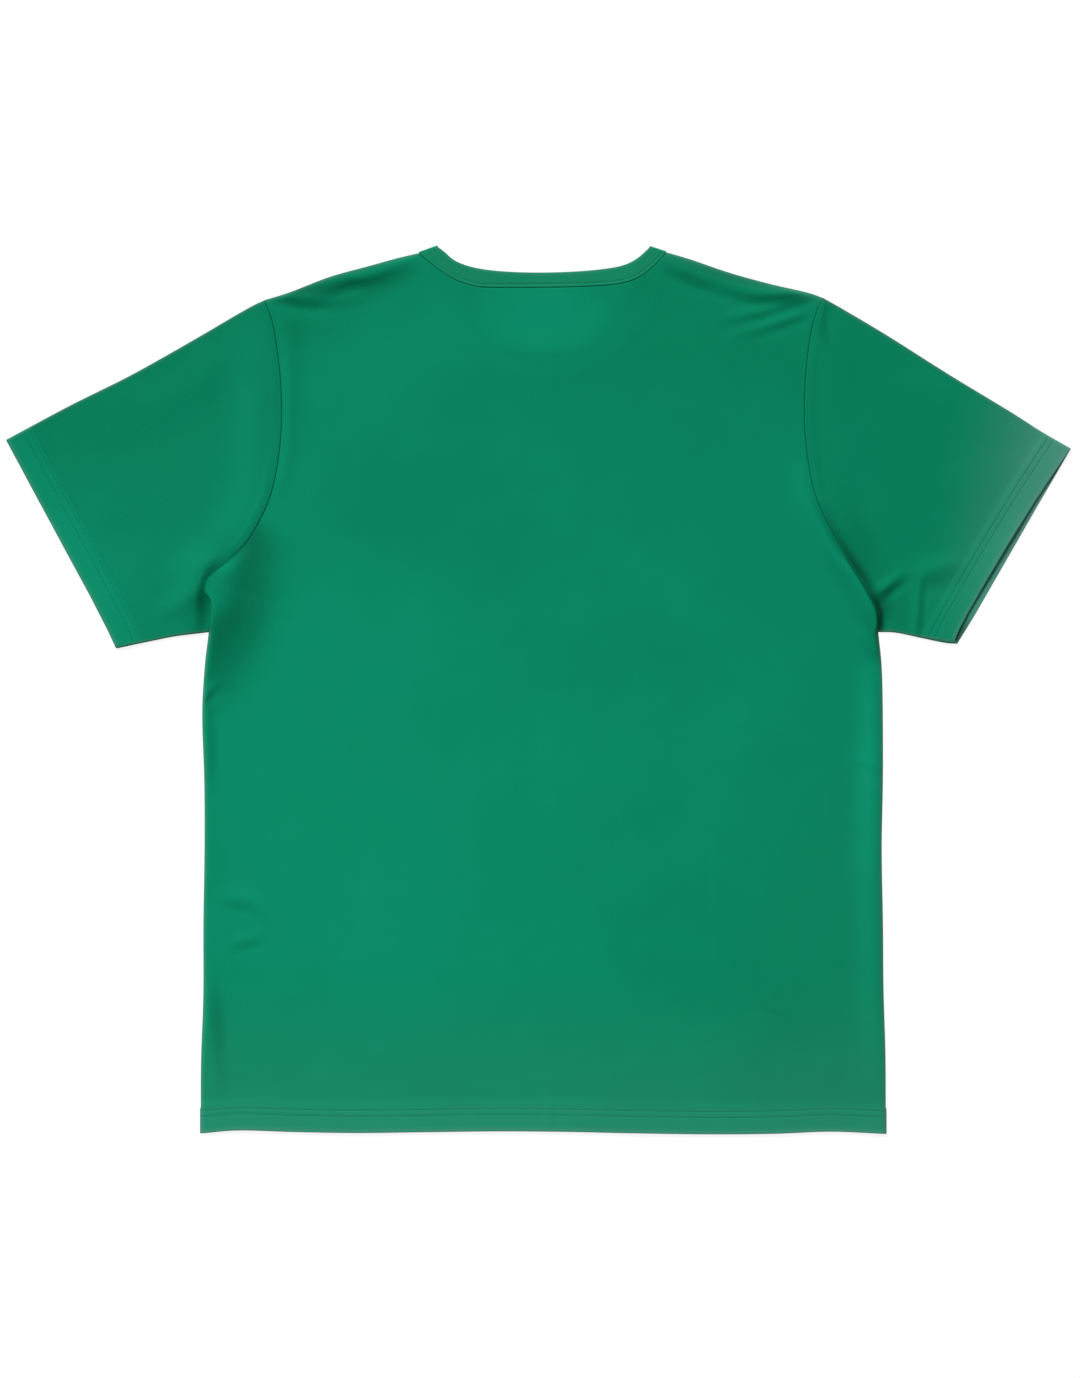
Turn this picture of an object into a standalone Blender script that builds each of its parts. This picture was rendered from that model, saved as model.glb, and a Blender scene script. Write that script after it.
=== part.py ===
"""Plain short-sleeved sports T-shirt, laid out flat with its back up.

Five cut pieces are sewn edge to edge: a back panel, a front panel, two sleeves and a neck band folded
double. The front panel rests on the surface and the back panel lies on it. The sleeves and the neck band
run round from the lower layer to the upper one, and meet the panels at the seams.
+X is to the right as the garment is seen from above, +Y towards its neck, +Z up. Sizes are in millimetres
until a point is placed.
"""

import math
from typing import NamedTuple

import bmesh
import bpy
import numpy as np

MM = 0.001

# Driving sizes
WALL = 1.2  # the knitted cloth
SEAM_GAP = 0.3  # between pieces that are sewn together, and between layers
TURN = 0.6  # what a turned-in edge adds to the cloth
HEM_DEPTH = 20.0  # of the body's turned-up hem
HEM_LEDGE = 0.5  # the hem's full thickness goes on this far past its depth
HEM_STEP = 2.5  # and has come down to the plain cloth this far past it
HEM_EASE = 12.0  # the back comes down off the front's hem over this
CUFF_DEPTH = 20.0  # of a sleeve's turned-in cuff
CUFF_OPENING = 5.0  # how far the right cuff's upper edge draws back from its lower edge
BAND_WALL = 1.6  # neck band, folded double
BAND_REACH = 16.0  # greatest width of the hidden front neck band
BAND_EASE = 8.0  # the back comes down off that band over this
NECK_SAG_RUN = 20.0  # the back sinks to the surface this far inside the front neck
SHOULDER_LEFT = (-224.7, 319.0)
SHOULDER_RIGHT = (234.1, 321.0)
NECK_LEFT = (-98.8, 357.9)  # where the neck seam meets the shoulder seam
NECK_RIGHT = (105.2, 358.8)
HEM_LEFT = (-276.8, -362.8)
HEM_RIGHT = (284.1, -362.8)
UNDERARM_LEFT = (-270.0, 48.8)
UNDERARM_RIGHT = (278.4, 48.0)
CUFF_LEFT = ((-435.8, 205.4), (-345.6, 34.9))  # top corner, underarm corner
CUFF_RIGHT = ((435.8, 198.8), (342.3, 38.9))

# Outlines seen from above, as x, y. A smooth curve passes through the rows of each.
HEM = (
    HEM_LEFT,
    (-238.0, -360.8),
    (-136.0, -362.0),
    (42.2, -361.2),
    (76.7, -362.8),
    (189.8, -363.7),
    (240.0, -361.2),
    HEM_RIGHT,
)
SIDE_LEFT = (HEM_LEFT, (-276.6, -303.0), (-274.3, -240.0), (-274.0, -80.0), (-275.9, -8.0), UNDERARM_LEFT)
SIDE_RIGHT = (HEM_RIGHT, (281.7, -205.0), (280.8, -123.0), (281.7, -57.0), (280.8, 9.0), UNDERARM_RIGHT)
ARMHOLE_LEFT = (
    UNDERARM_LEFT,
    (-268.0, 71.4),
    (-274.3, 83.2),
    (-269.4, 93.9),
    (-249.7, 111.1),
    (-235.8, 126.7),
    (-219.3, 161.1),
    (-211.4, 205.0),
    (-211.1, 251.3),
    (-217.2, 298.1),
    SHOULDER_LEFT,
)
ARMHOLE_RIGHT = (
    UNDERARM_RIGHT,
    (278.1, 65.2),
    (266.9, 88.1),
    (243.9, 124.2),
    (226.7, 161.1),
    (219.3, 202.1),
    (218.0, 240.0),
    (221.8, 284.9),
    (228.4, 311.5),
    SHOULDER_RIGHT,
)
SHOULDER_SEAM_LEFT = (SHOULDER_LEFT, (-202.9, 326.8), (-169.3, 339.9), (-123.4, 353.0), NECK_LEFT)
SHOULDER_SEAM_RIGHT = (NECK_RIGHT, (154.6, 343.2), (203.8, 330.0), SHOULDER_RIGHT)
BACK_NECK_SEAM = (
    NECK_LEFT,
    (-84.3, 346.9),
    (-69.6, 337.4),
    (-55.3, 332.2),
    (-40.6, 330.5),
    (3.7, 330.4),
    (47.1, 331.7),
    (69.3, 334.1),
    (84.0, 339.6),
    (95.5, 348.9),
    NECK_RIGHT,
)
BACK_NECK_EDGE = (
    (-83.2, 363.7),
    (-74.2, 356.3),
    (-62.7, 349.7),
    (-49.6, 346.4),
    (-16.0, 343.2),
    (1.2, 342.3),
    (37.3, 344.0),
    (57.0, 345.6),
    (71.8, 349.7),
    (83.2, 356.3),
    (93.1, 363.7),
)
UNDERARM_SEAM_LEFT = (UNDERARM_LEFT, (-297.2, 45.5), (-316.9, 41.4), CUFF_LEFT[1])
UNDERARM_SEAM_RIGHT = (UNDERARM_RIGHT, (293.1, 48.0), (312.8, 43.9), (332.5, 39.8), CUFF_RIGHT[1])


class NeckRow(NamedTuple):
    """A place on the front neck, which is alike on both sides of its own middle."""

    half_width: float
    y: float


FRONT_NECK_MIDDLE = 4.0
FRONT_NECK_EDGE = (
    NeckRow(88.0, 363.7),
    NeckRow(78.5, 335.0),
    NeckRow(62.0, 304.0),
    NeckRow(38.0, 280.0),
    NeckRow(0.0, 272.2),
)
FRONT_NECK_SEAM = (
    NeckRow(102.0, 358.2),
    NeckRow(91.5, 328.5),
    NeckRow(74.0, 296.0),
    NeckRow(46.0, 268.5),
    NeckRow(0.0, 259.9),
)

# How the panels are divided into faces
MERGE_DISTANCE = 0.001  # points where a rolled-up grid meets itself
EDGE_FADE = 3  # the power by which the bend of a panel's edge fades from the rows inside it
SIDE_PART = 0.6  # the part of a body panel's side edge, from hem to shoulder, that is side seam
NECK_PART = 0.32  # the part of its top edge that is one shoulder seam
BAND_END = 0.018  # the band turns over this part of its back length short of the shoulder seam
NOSE_STEPS = 4  # faces round a sleeve's folded edge
SHARP_ANGLE = 40.0  # an edge that turns by more than this many degrees is shaded sharp


class Stretch(NamedTuple):
    """Equal steps up to a part of the way along an edge."""

    end: float
    steps: int


ARMHOLE_STRETCHES = (Stretch(0.2, 6), Stretch(0.78, 7), Stretch(1.0, 8))  # from underarm to shoulder
NECK_STRETCHES = (Stretch(1.0, 16),)
BACK_SHOULDER_STRETCHES = (Stretch(0.14, 6), Stretch(NECK_PART, 5))
BACK_SIDE_STRETCHES = (Stretch(0.45, 8), Stretch(SIDE_PART, 4))
FRONT_SHOULDER_STRETCHES = (Stretch(NECK_PART, 5),)
FRONT_SIDE_STRETCHES = (Stretch(SIDE_PART, 7),)
SLEEVE_STEPS = 8  # along a sleeve, from its armhole to its turned cuff


class Fold(NamedTuple):
    """A soft ridge in the upper layer, from one point to another, rising less and less along its length."""

    start_x: float
    start_y: float
    end_x: float
    end_y: float
    spread: float
    rise: float
    end_rise: float


BACK_FOLDS = (
    # cloth bunched where the body laps over the left sleeve, and its ridge down the side seam
    Fold(-252.0, 92.0, -240.0, 122.0, 16.0, 3.0, 0.8),
    Fold(-262.0, 70.0, -268.0, -30.0, 12.0, 2.6, 0.6),
    # the same at the right underarm
    Fold(264.0, 78.0, 240.0, 118.0, 11.0, 2.2, 0.8),
    Fold(270.0, 60.0, 274.0, -60.0, 11.0, 1.8, 0.8),
    # drag folds that run in from the right shoulder point
    Fold(222.0, 321.5, 128.0, 343.0, 6.5, 2.4, 0.8),
    Fold(219.0, 316.0, 150.0, 306.5, 5.5, 2.0, 0.3),
    Fold(221.0, 309.0, 166.0, 293.0, 5.5, 1.7, 0.2),
    # drag folds under the left shoulder seam
    Fold(-196.0, 322.5, -112.0, 348.0, 6.5, 2.2, 0.6),
    Fold(-212.0, 311.0, -160.0, 312.0, 6.0, 1.4, 0.4),
    # pucker above the hem on the left side seam
    Fold(-248.0, -167.0, -230.0, -174.0, 10.0, 2.4, 1.0),
    Fold(-262.0, -200.0, -236.0, -206.0, 9.0, 1.6, 0.8),
    # soft swell of the body's width
    Fold(-120.0, -60.0, 130.0, 60.0, 120.0, 1.2, 1.2),
    Fold(-150.0, -250.0, 160.0, -280.0, 60.0, 0.8, 1.0),
)
LEFT_SLEEVE_FOLDS = (
    Fold(-262.0, 138.0, -238.0, 160.0, 16.0, 2.4, 1.2),
    Fold(-238.0, 170.0, -238.0, 270.0, 12.0, 1.2, 0.8),
    Fold(-300.0, 95.0, -330.0, 70.0, 16.0, 1.0, 0.5),
)
RIGHT_SLEEVE_FOLDS = (
    Fold(304.0, 62.0, 300.0, 96.0, 7.0, 2.0, 0.8),
    Fold(322.0, 58.0, 330.0, 110.0, 9.0, 1.6, 0.6),
    Fold(246.0, 150.0, 240.0, 250.0, 12.0, 1.4, 0.8),
    Fold(402.0, 134.0, 392.0, 118.0, 22.0, 1.4, 1.0),
)

# Finish: colours as red, green, blue from 0 to 255
JERSEY_ROUGHNESS = 0.85
BODY_GREEN = (11, 134, 97)
SLEEVE_GREEN = (12, 132, 94)
BAND_GREEN = (32, 136, 102)


def smooth(part):
    """Eases from 0 to 1 as the part goes from 0 to 1."""
    part = min(1.0, max(0.0, part))
    return part * part * (3.0 - 2.0 * part)


def curve_through(rows, steps=12):
    """Closely spaced points on the smooth curve that passes through the rows of an outline."""
    rows = np.array(rows)
    ends = np.vstack([2 * rows[0] - rows[1], rows, 2 * rows[-1] - rows[-2]])
    t = np.linspace(0.0, 1.0, steps, endpoint=False)[:, None]
    pieces = []
    for before, start, end, after in zip(ends, ends[1:], ends[2:], ends[3:]):
        slope_in = (end - before) / 2
        slope_out = (after - start) / 2
        bend = 3 * (end - start) - 2 * slope_in - slope_out
        turn = slope_in + slope_out - 2 * (end - start)
        pieces.append(start + slope_in * t + bend * t**2 + turn * t**3)
    return np.vstack(pieces + [rows[-1:]])


def front_neck(rows):
    """Points down and round a front neck curve, from its left end to its right end."""
    left = [(FRONT_NECK_MIDDLE - row.half_width, row.y) for row in rows]
    right = [(FRONT_NECK_MIDDLE + row.half_width, row.y) for row in rows[-2::-1]]
    return curve_through(left + right)


def beside(line, distance):
    """The line moved sideways by the distance, to the left of its own direction."""
    along = np.gradient(line, axis=0)
    along /= np.linalg.norm(along, axis=1)[:, None]
    return line + distance * np.stack([-along[:, 1], along[:, 0]], axis=1)


def point_on(line, part):
    """The point that lies the given part of the way along a line."""
    lengths = np.linalg.norm(np.diff(line, axis=0), axis=1)
    reached = np.concatenate([[0.0], np.cumsum(lengths)]) / lengths.sum()
    return np.array([np.interp(part, reached, line[:, 0]), np.interp(part, reached, line[:, 1])])


def edge(line):
    """The line as an edge: a function from the part of the way along it to the point there."""
    return lambda part: point_on(line, part)


def seam_edge(line, parts, aside=0.0):
    """An edge with corners only at the given parts, so that the two pieces sewn along it stay parallel."""
    corners = beside(np.array([point_on(line, part) for part in parts]), aside)
    return lambda part: np.array([np.interp(part, parts, corners[:, axis]) for axis in (0, 1)])


def joined(edges, ends):
    """Several edges end to end as one. Each ends at its own part of the whole."""
    starts = (0.0,) + ends[:-1]

    def place(part):
        piece = next(k for k, end in enumerate(ends) if part <= end + 1e-9)
        return edges[piece]((part - starts[piece]) / (ends[piece] - starts[piece]))

    return place


def patch(bottom, top, left, right):
    """Fills the outline between four edges: the place of a point at parts u across and v up.

    It starts from the straight-sided shape between the four corners. Each edge then bends the rows or
    columns next to it, less and less further in.
    """
    corners = np.array([[bottom(0.0), bottom(1.0)], [top(0.0), top(1.0)]])

    def straight(u, v):
        low, high = corners[0, 0] * (1 - u) + corners[0, 1] * u, corners[1, 0] * (1 - u) + corners[1, 1] * u
        return low * (1 - v) + high * v

    def place(u, v):
        bent = (bottom(u) - straight(u, 0.0)) * (1 - v) ** EDGE_FADE
        bent = bent + (top(u) - straight(u, 1.0)) * v**EDGE_FADE
        bent = bent + (left(v) - straight(0.0, v)) * (1 - u) ** EDGE_FADE
        bent = bent + (right(v) - straight(1.0, v)) * u**EDGE_FADE
        return straight(u, v) + bent

    return place


def fractions(stretches):
    """The parts of the way, from 0, that the stretches step through."""
    found = [0.0]
    for end, steps in stretches:
        start = found[-1]
        found += [start + (end - start) * (k + 1) / steps for k in range(steps)]
    return found


FRONT_EDGE_LINE = front_neck(FRONT_NECK_EDGE)
HEM_LINE = curve_through(HEM)
# Steps along a seam are shared by the two pieces that are sewn there
ARMHOLE_STEPS = fractions(ARMHOLE_STRETCHES)
NECK_STEPS = fractions(NECK_STRETCHES)


def lift(folds, x, y):
    """How far the folds raise the upper layer at a place."""
    total = 0.0
    for fold in folds:
        run_x = fold.end_x - fold.start_x
        run_y = fold.end_y - fold.start_y
        part = ((x - fold.start_x) * run_x + (y - fold.start_y) * run_y) / (run_x**2 + run_y**2)
        part = min(1.0, max(0.0, part))
        off = math.hypot(x - fold.start_x - part * run_x, y - fold.start_y - part * run_y)
        rise = fold.rise + (fold.end_rise - fold.rise) * smooth(part)
        total += rise * math.exp(-((off / fold.spread) ** 2))
    return total


def inside_front_neck(x, y):
    """Distance inside the front neck's free edge, less than 0 outside it."""
    distance = np.linalg.norm(FRONT_EDGE_LINE - (x, y), axis=1).min()
    rows = FRONT_NECK_EDGE[::-1]
    half_width = np.interp(y, [row.y for row in rows], [row.half_width for row in rows])
    within = y > rows[0].y and abs(x - FRONT_NECK_MIDDLE) < half_width
    return distance if within else -distance


def hem_turn(x, y, run=HEM_STEP):
    """What the turned-up hem adds to a body panel's cloth. It is gone at a run past the hem's depth."""
    past = y - np.interp(x, HEM_LINE[:, 0], HEM_LINE[:, 1]) - HEM_DEPTH
    return TURN * (1.0 - smooth((past - HEM_LEDGE) / (run - HEM_LEDGE)))


def front_low(x, y):
    return 0.0


def front_high(x, y):
    return WALL + hem_turn(x, y)


def back_low(x, y):
    """Underside of the back: on the front, over the hidden front neck band, and sunk where neither lies."""
    inside = inside_front_neck(x, y)
    on_band = smooth((inside + BAND_REACH + BAND_EASE) / BAND_EASE)
    in_neck = smooth(inside / NECK_SAG_RUN)
    bed = WALL + SEAM_GAP + hem_turn(x, y, HEM_EASE) + (BAND_WALL - WALL) * on_band
    return bed * (1.0 - in_neck) + SEAM_GAP * in_neck + lift(BACK_FOLDS, x, y)


def back_high(x, y):
    return back_low(x, y) + WALL + hem_turn(x, y)


def linear(value):
    """One 0 to 255 channel of a screen colour as linear light."""
    value /= 255
    return value / 12.92 if value <= 0.04045 else ((value + 0.055) / 1.055) ** 2.4


def jersey(name, colour):
    """Matt knitted polyester."""
    material = bpy.data.materials.new(name)
    material.use_nodes = True
    shader = material.node_tree.nodes["Principled BSDF"]
    shader.inputs["Base Color"].default_value = [linear(channel) for channel in colour] + [1.0]
    shader.inputs["Roughness"].default_value = JERSEY_ROUGHNESS
    shader.inputs["Metallic"].default_value = 0.0
    return material


def finish(name, bm, material):
    """Makes one named object of a mesh, facing outwards and shaded smooth."""
    bmesh.ops.recalc_face_normals(bm, faces=bm.faces)
    mesh = bpy.data.meshes.new(name)
    bm.to_mesh(mesh)
    bm.free()
    mesh.shade_smooth()
    mesh.set_sharp_from_angle(angle=math.radians(SHARP_ANGLE))
    mesh.materials.append(material)
    piece = bpy.data.objects.new(name, mesh)
    bpy.context.scene.collection.objects.link(piece)
    return piece


def grid(columns, rows):
    """A bmesh grid, and each of its points with its column and row."""
    bm = bmesh.new()
    bmesh.ops.create_grid(bm, x_segments=columns, y_segments=rows, size=0.5)
    counted = [(v, round((v.co.x + 0.5) * columns), round((v.co.y + 0.5) * rows)) for v in bm.verts]
    return bm, counted


def panel(name, plan, across, up, low, high, material):
    """A flat panel: its underside, then the same sheet extruded to its upper side."""
    bm, counted = grid(len(across) - 1, len(up) - 1)
    for vert, column, row in counted:
        x, y = plan(across[column], up[row])
        vert.co = (x * MM, y * MM, low(x, y) * MM)
    made = bmesh.ops.extrude_face_region(bm, geom=bm.faces[:])["geom"]
    for vert in (item for item in made if isinstance(item, bmesh.types.BMVert)):
        vert.co.z = high(vert.co.x / MM, vert.co.y / MM) * MM
    return finish(name, bm, material)


def closed_ring(name, place, around, section, material):
    """A wall that closes on itself both ways: a grid rolled up round its section and along its ring."""
    bm, counted = grid(section, around)
    for vert, column, row in counted:
        x, y, z = place(row % around, column % section)
        vert.co = (x * MM, y * MM, z * MM)
    bmesh.ops.remove_doubles(bm, verts=bm.verts, dist=MERGE_DISTANCE * MM)
    return finish(name, bm, material)


def body_plan(neck_line):
    """Outline of a body panel, with its corners at the neck and at the underarms on whole rows."""
    neck = seam_edge(neck_line, NECK_STEPS, -SEAM_GAP)
    shoulders = [edge(curve_through(rows)) for rows in (SHOULDER_SEAM_LEFT, SHOULDER_SEAM_RIGHT)]
    top = joined((shoulders[0], neck, shoulders[1]), (NECK_PART, 1.0 - NECK_PART, 1.0))
    sides = []
    for side, armhole in ((SIDE_LEFT, ARMHOLE_LEFT), (SIDE_RIGHT, ARMHOLE_RIGHT)):
        upper = seam_edge(curve_through(armhole), ARMHOLE_STEPS)
        sides.append(joined((edge(curve_through(side)), upper), (SIDE_PART, 1.0)))
    return patch(edge(HEM_LINE), top, *sides)


def body_rows(side_stretches):
    """Rows up a body panel: the turned hem and its step, the side seam, then the armhole's own steps."""
    scale = SIDE_PART / (UNDERARM_LEFT[1] - HEM_LEFT[1])
    hem = (Stretch(HEM_DEPTH * scale, 1), Stretch((HEM_DEPTH + HEM_STEP) * scale, 1))
    armhole = [SIDE_PART + (1 - SIDE_PART) * step for step in ARMHOLE_STEPS[1:]]
    return fractions(hem + side_stretches) + armhole


def body_columns(shoulder_stretches):
    """Columns across a body panel: one shoulder seam, the neck's own steps, and the shoulder mirrored."""
    shoulder = fractions(shoulder_stretches)
    neck = [NECK_PART + (1 - 2 * NECK_PART) * step for step in NECK_STEPS[1:-1]]
    return shoulder + neck + [1 - part for part in shoulder[::-1]]


def back_panel():
    across = body_columns(BACK_SHOULDER_STRETCHES)
    up = body_rows(BACK_SIDE_STRETCHES)
    plan = body_plan(curve_through(BACK_NECK_SEAM))
    return panel("back_panel", plan, across, up, back_low, back_high, jersey("back_jersey", BODY_GREEN))


def front_panel():
    across = body_columns(FRONT_SHOULDER_STRETCHES)
    up = body_rows(FRONT_SIDE_STRETCHES)
    plan = body_plan(front_neck(FRONT_NECK_SEAM))
    return panel("front_panel", plan, across, up, front_low, front_high, jersey("front_jersey", BODY_GREEN))


def sleeve_plan(armhole, underarm_seam, cuff, outward):
    """Outline of a sleeve: part 0 to 1 from armhole to cuff, and from the top fold to the underarm seam."""
    seam = seam_edge(curve_through(armhole), ARMHOLE_STEPS, -outward * SEAM_GAP)
    top = edge(np.array([seam(1.0), cuff[0]]))
    under = edge(curve_through((tuple(seam(0.0)),) + underarm_seam[1:]))
    return patch(top, under, lambda part: seam(1.0 - part), edge(np.array(cuff)))


def tube_section():
    """Round a flattened tube: the part across and the tilt, 90 on the upper layer and -90 on the lower."""
    across = [1.0 - step for step in ARMHOLE_STEPS[::-1]]
    turns = [90.0 - 180.0 * step / NOSE_STEPS for step in range(1, NOSE_STEPS + 1)]
    over = [(part, 90.0) for part in across] + [(1.0, tilt) for tilt in turns]
    under = [(part, -90.0) for part in across[-2::-1]] + [(0.0, -tilt) for tilt in turns[:-1]]
    return over + under


def sleeve(name, plan, folds, opening=0.0):
    """A tube pressed flat. Its wall runs down the outside from armhole to cuff and back up the inside."""
    length = np.linalg.norm(plan(1.0, 0.0) - plan(0.0, 0.0))
    step_part = 1 - (CUFF_DEPTH + HEM_STEP) / length
    cuff_part = 1 - CUFF_DEPTH / length
    along = fractions((Stretch(step_part, SLEEVE_STEPS), Stretch(cuff_part, 1), Stretch(1.0, 1)))
    stations = [(part, False) for part in along] + [(part, True) for part in along[::-1]]
    section = tube_section()

    def place(station, around):
        part, within = stations[station]
        across, tilt = section[around]
        half = WALL + TURN * smooth((part - step_part) / (cuff_part - step_part)) + SEAM_GAP / 2
        radius = SEAM_GAP / 2 if within else half
        inset = half / np.linalg.norm(plan(part, 1.0) - plan(part, 0.0))
        drawn_back = opening / length * 4 * across * (1 - across) * smooth(2 * part - 1) * (tilt > 0)
        middle = plan(part - drawn_back, min(1 - inset, max(inset, across)))
        up, out = math.sin(math.radians(tilt)), math.cos(math.radians(tilt))
        x, y = middle
        if abs(tilt) < 90.0:
            edge_way = plan(part, across) - middle
            x, y = middle + edge_way / np.linalg.norm(edge_way) * radius * out
        return x, y, half + radius * up + (1 + up) / 2 * lift(folds, x, y)

    return closed_ring(name, place, len(stations), len(section), jersey(name + "_jersey", SLEEVE_GREEN))


class Corner(NamedTuple):
    """A corner of the neck band's section, in parts of its half width and its half thickness."""

    across: float
    up: float


BAND_SECTION = (
    Corner(-1.0, -0.4),
    Corner(-1.0, 0.4),
    Corner(-0.9, 1.0),
    Corner(0.0, 1.0),
    Corner(0.9, 1.0),
    Corner(1.0, 0.4),
    Corner(1.0, -0.4),
    Corner(0.9, -1.0),
    Corner(0.0, -1.0),
    Corner(-0.9, -1.0),
)
BAND_TURN = (45.0, 90.0, 135.0, 180.0)  # the band's tilt as it turns over at a shoulder, in degrees


def band_stations():
    """Seam point, free-edge point and tilt of each section, round the back and then the hidden front."""
    parts = [BAND_END] + NECK_STEPS[1:-1] + [1 - BAND_END]
    seam, free = seam_edge(curve_through(BACK_NECK_SEAM), NECK_STEPS), edge(curve_through(BACK_NECK_EDGE))
    upper = [(seam(part), free(part), 0.0) for part in parts]
    right = [upper[-1][:2] + (tilt,) for tilt in BAND_TURN]
    left = [upper[0][:2] + (tilt,) for tilt in BAND_TURN[::-1]]
    seam, free = seam_edge(front_neck(FRONT_NECK_SEAM), NECK_STEPS), edge(FRONT_EDGE_LINE)
    lower = [(seam(part), free(part), 180.0) for part in parts[-2:0:-1]]
    return upper + right + lower + left


def neck_band():
    """A folded strip sewn into a ring, turned over at both shoulders where the garment lies flat."""
    stations = band_stations()
    radius = (BAND_WALL + SEAM_GAP) / 2

    def place(station, corner):
        seam, free, tilt = stations[station]
        width = free - seam
        unit = width / np.linalg.norm(width)
        outward = np.array([-unit[1], unit[0]]) * (1 if unit[0] > 0 else -1)
        across = (1 + BAND_SECTION[corner].across) / 2
        off = radius + BAND_SECTION[corner].up * BAND_WALL / 2
        x, y = seam + width * across + outward * off * math.sin(math.radians(tilt))
        if tilt == 0.0:
            return x, y, back_low(x, y) + (1 + BAND_SECTION[corner].up) * BAND_WALL / 2
        return x, y, BAND_WALL + SEAM_GAP / 2 + off * math.cos(math.radians(tilt))

    material = jersey("band_jersey", BAND_GREEN)
    return closed_ring("neck_band", place, len(stations), len(BAND_SECTION), material)


def centre(pieces):
    """Moves the garment so that its box stands on the surface with its middle at the origin."""
    corners = np.array([vert.co for piece in pieces for vert in piece.data.vertices])
    low, high = corners.min(axis=0), corners.max(axis=0)
    shift = np.array([(low[0] + high[0]) / 2, (low[1] + high[1]) / 2, low[2]])
    for piece in pieces:
        for vert in piece.data.vertices:
            vert.co = np.array(vert.co) - shift


def main():
    for old in list(bpy.data.objects):
        bpy.data.objects.remove(old)
    left = sleeve_plan(ARMHOLE_LEFT, UNDERARM_SEAM_LEFT, CUFF_LEFT, -1)
    right = sleeve_plan(ARMHOLE_RIGHT, UNDERARM_SEAM_RIGHT, CUFF_RIGHT, 1)
    centre(
        (
            front_panel(),
            back_panel(),
            sleeve("left_sleeve", left, LEFT_SLEEVE_FOLDS),
            sleeve("right_sleeve", right, RIGHT_SLEEVE_FOLDS, CUFF_OPENING),
            neck_band(),
        )
    )


main()
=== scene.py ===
"""Plain green sports T-shirt, laid out flat on a white table with its back up.

Sizes are in millimetres until a mesh is made. +X is to the right as the garment is seen from above, +Y
towards its neck and +Z up. "Left" and "right" are as seen here.
"""

import math
from typing import NamedTuple

import bmesh
import bpy
import numpy as np
from mathutils import Matrix, Vector, noise


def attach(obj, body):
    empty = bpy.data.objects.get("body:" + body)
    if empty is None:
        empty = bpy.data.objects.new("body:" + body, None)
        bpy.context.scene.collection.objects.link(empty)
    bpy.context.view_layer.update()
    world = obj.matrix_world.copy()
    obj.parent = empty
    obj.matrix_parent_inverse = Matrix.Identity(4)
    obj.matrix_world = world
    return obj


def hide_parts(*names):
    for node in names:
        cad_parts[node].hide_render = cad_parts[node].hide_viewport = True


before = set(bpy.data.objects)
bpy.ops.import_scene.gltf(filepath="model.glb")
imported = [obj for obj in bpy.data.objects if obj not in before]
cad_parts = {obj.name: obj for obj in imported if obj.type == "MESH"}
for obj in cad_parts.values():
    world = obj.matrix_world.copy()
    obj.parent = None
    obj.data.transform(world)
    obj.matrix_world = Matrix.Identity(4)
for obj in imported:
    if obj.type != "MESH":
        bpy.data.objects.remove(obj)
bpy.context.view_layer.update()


# ---------------------------------------------------------------------------------------------------------
# Table, light and camera. The garment lies on a softly lit white table and is photographed from straight
# above, under a large softbox behind its neck, a little to the left, with white walls all round.

MM = 0.001
TABLE_SIDE = 9000.0
TABLE_OPAL = "6C6D6D"
TABLE_GLOW = 0.86
WALL_WHITE = "FFFFFF"
WALL_LIGHT = 0.30
SOFTBOX_FROM = (-0.36, 0.70, 0.72)  # the way to the softbox
SOFTBOX_ANGLE = 24.0  # how wide it looks from the garment
SOFTBOX_LIGHT = 3.62
LENS = 100.0
SENSOR = 36.0
VIEW_HEIGHT = 1130.0  # what the picture's long side covers
VIEW_MIDDLE = (1.2, 1.4)
VIEW_DEPTH = 100.0  # how far the camera sees, in metres


def linear(colour):
    """An sRGB hex colour as linear red, green, blue and alpha."""
    channels = [int(colour[at : at + 2], 16) / 255 for at in (0, 2, 4)]
    return [c / 12.92 if c <= 0.04045 else ((c + 0.055) / 1.055) ** 2.4 for c in channels] + [1.0]


def new_material(name, sockets):
    """A material with the given constants on its shader's own sockets, and that shader."""
    material = bpy.data.materials.new(name)
    material.use_nodes = True
    shader = material.node_tree.nodes["Principled BSDF"]
    for socket, value in sockets.items():
        shader.inputs[socket].default_value = value
    return material, shader


def new_piece(name, bm, material):
    """Ends a bmesh and puts its mesh in the scene as an object."""
    mesh = bpy.data.meshes.new(name)
    bm.to_mesh(mesh)
    bm.free()
    mesh.shade_smooth()
    mesh.materials.append(material)
    piece = bpy.data.objects.new(name, mesh)
    bpy.context.scene.collection.objects.link(piece)
    return piece


# Opal acrylic, satin and lit from inside, which leaves only faint shadows
table_opal, _ = new_material("table_opal_acrylic", {
    "Base Color": linear(TABLE_OPAL),
    "Emission Color": linear(WALL_WHITE),
    "Emission Strength": TABLE_GLOW,
    "Roughness": 0.8,
    "Specular IOR Level": 0.2,
})
table_top = bmesh.new()
bmesh.ops.create_grid(table_top, x_segments=1, y_segments=1, size=TABLE_SIDE * MM / 2)
table = new_piece("table", table_top, table_opal)

walls = bpy.data.worlds.new("white_walls")
walls.use_nodes = True
walls.node_tree.nodes["Background"].inputs["Color"].default_value = linear(WALL_WHITE)
walls.node_tree.nodes["Background"].inputs["Strength"].default_value = WALL_LIGHT
bpy.context.scene.world = walls

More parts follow.
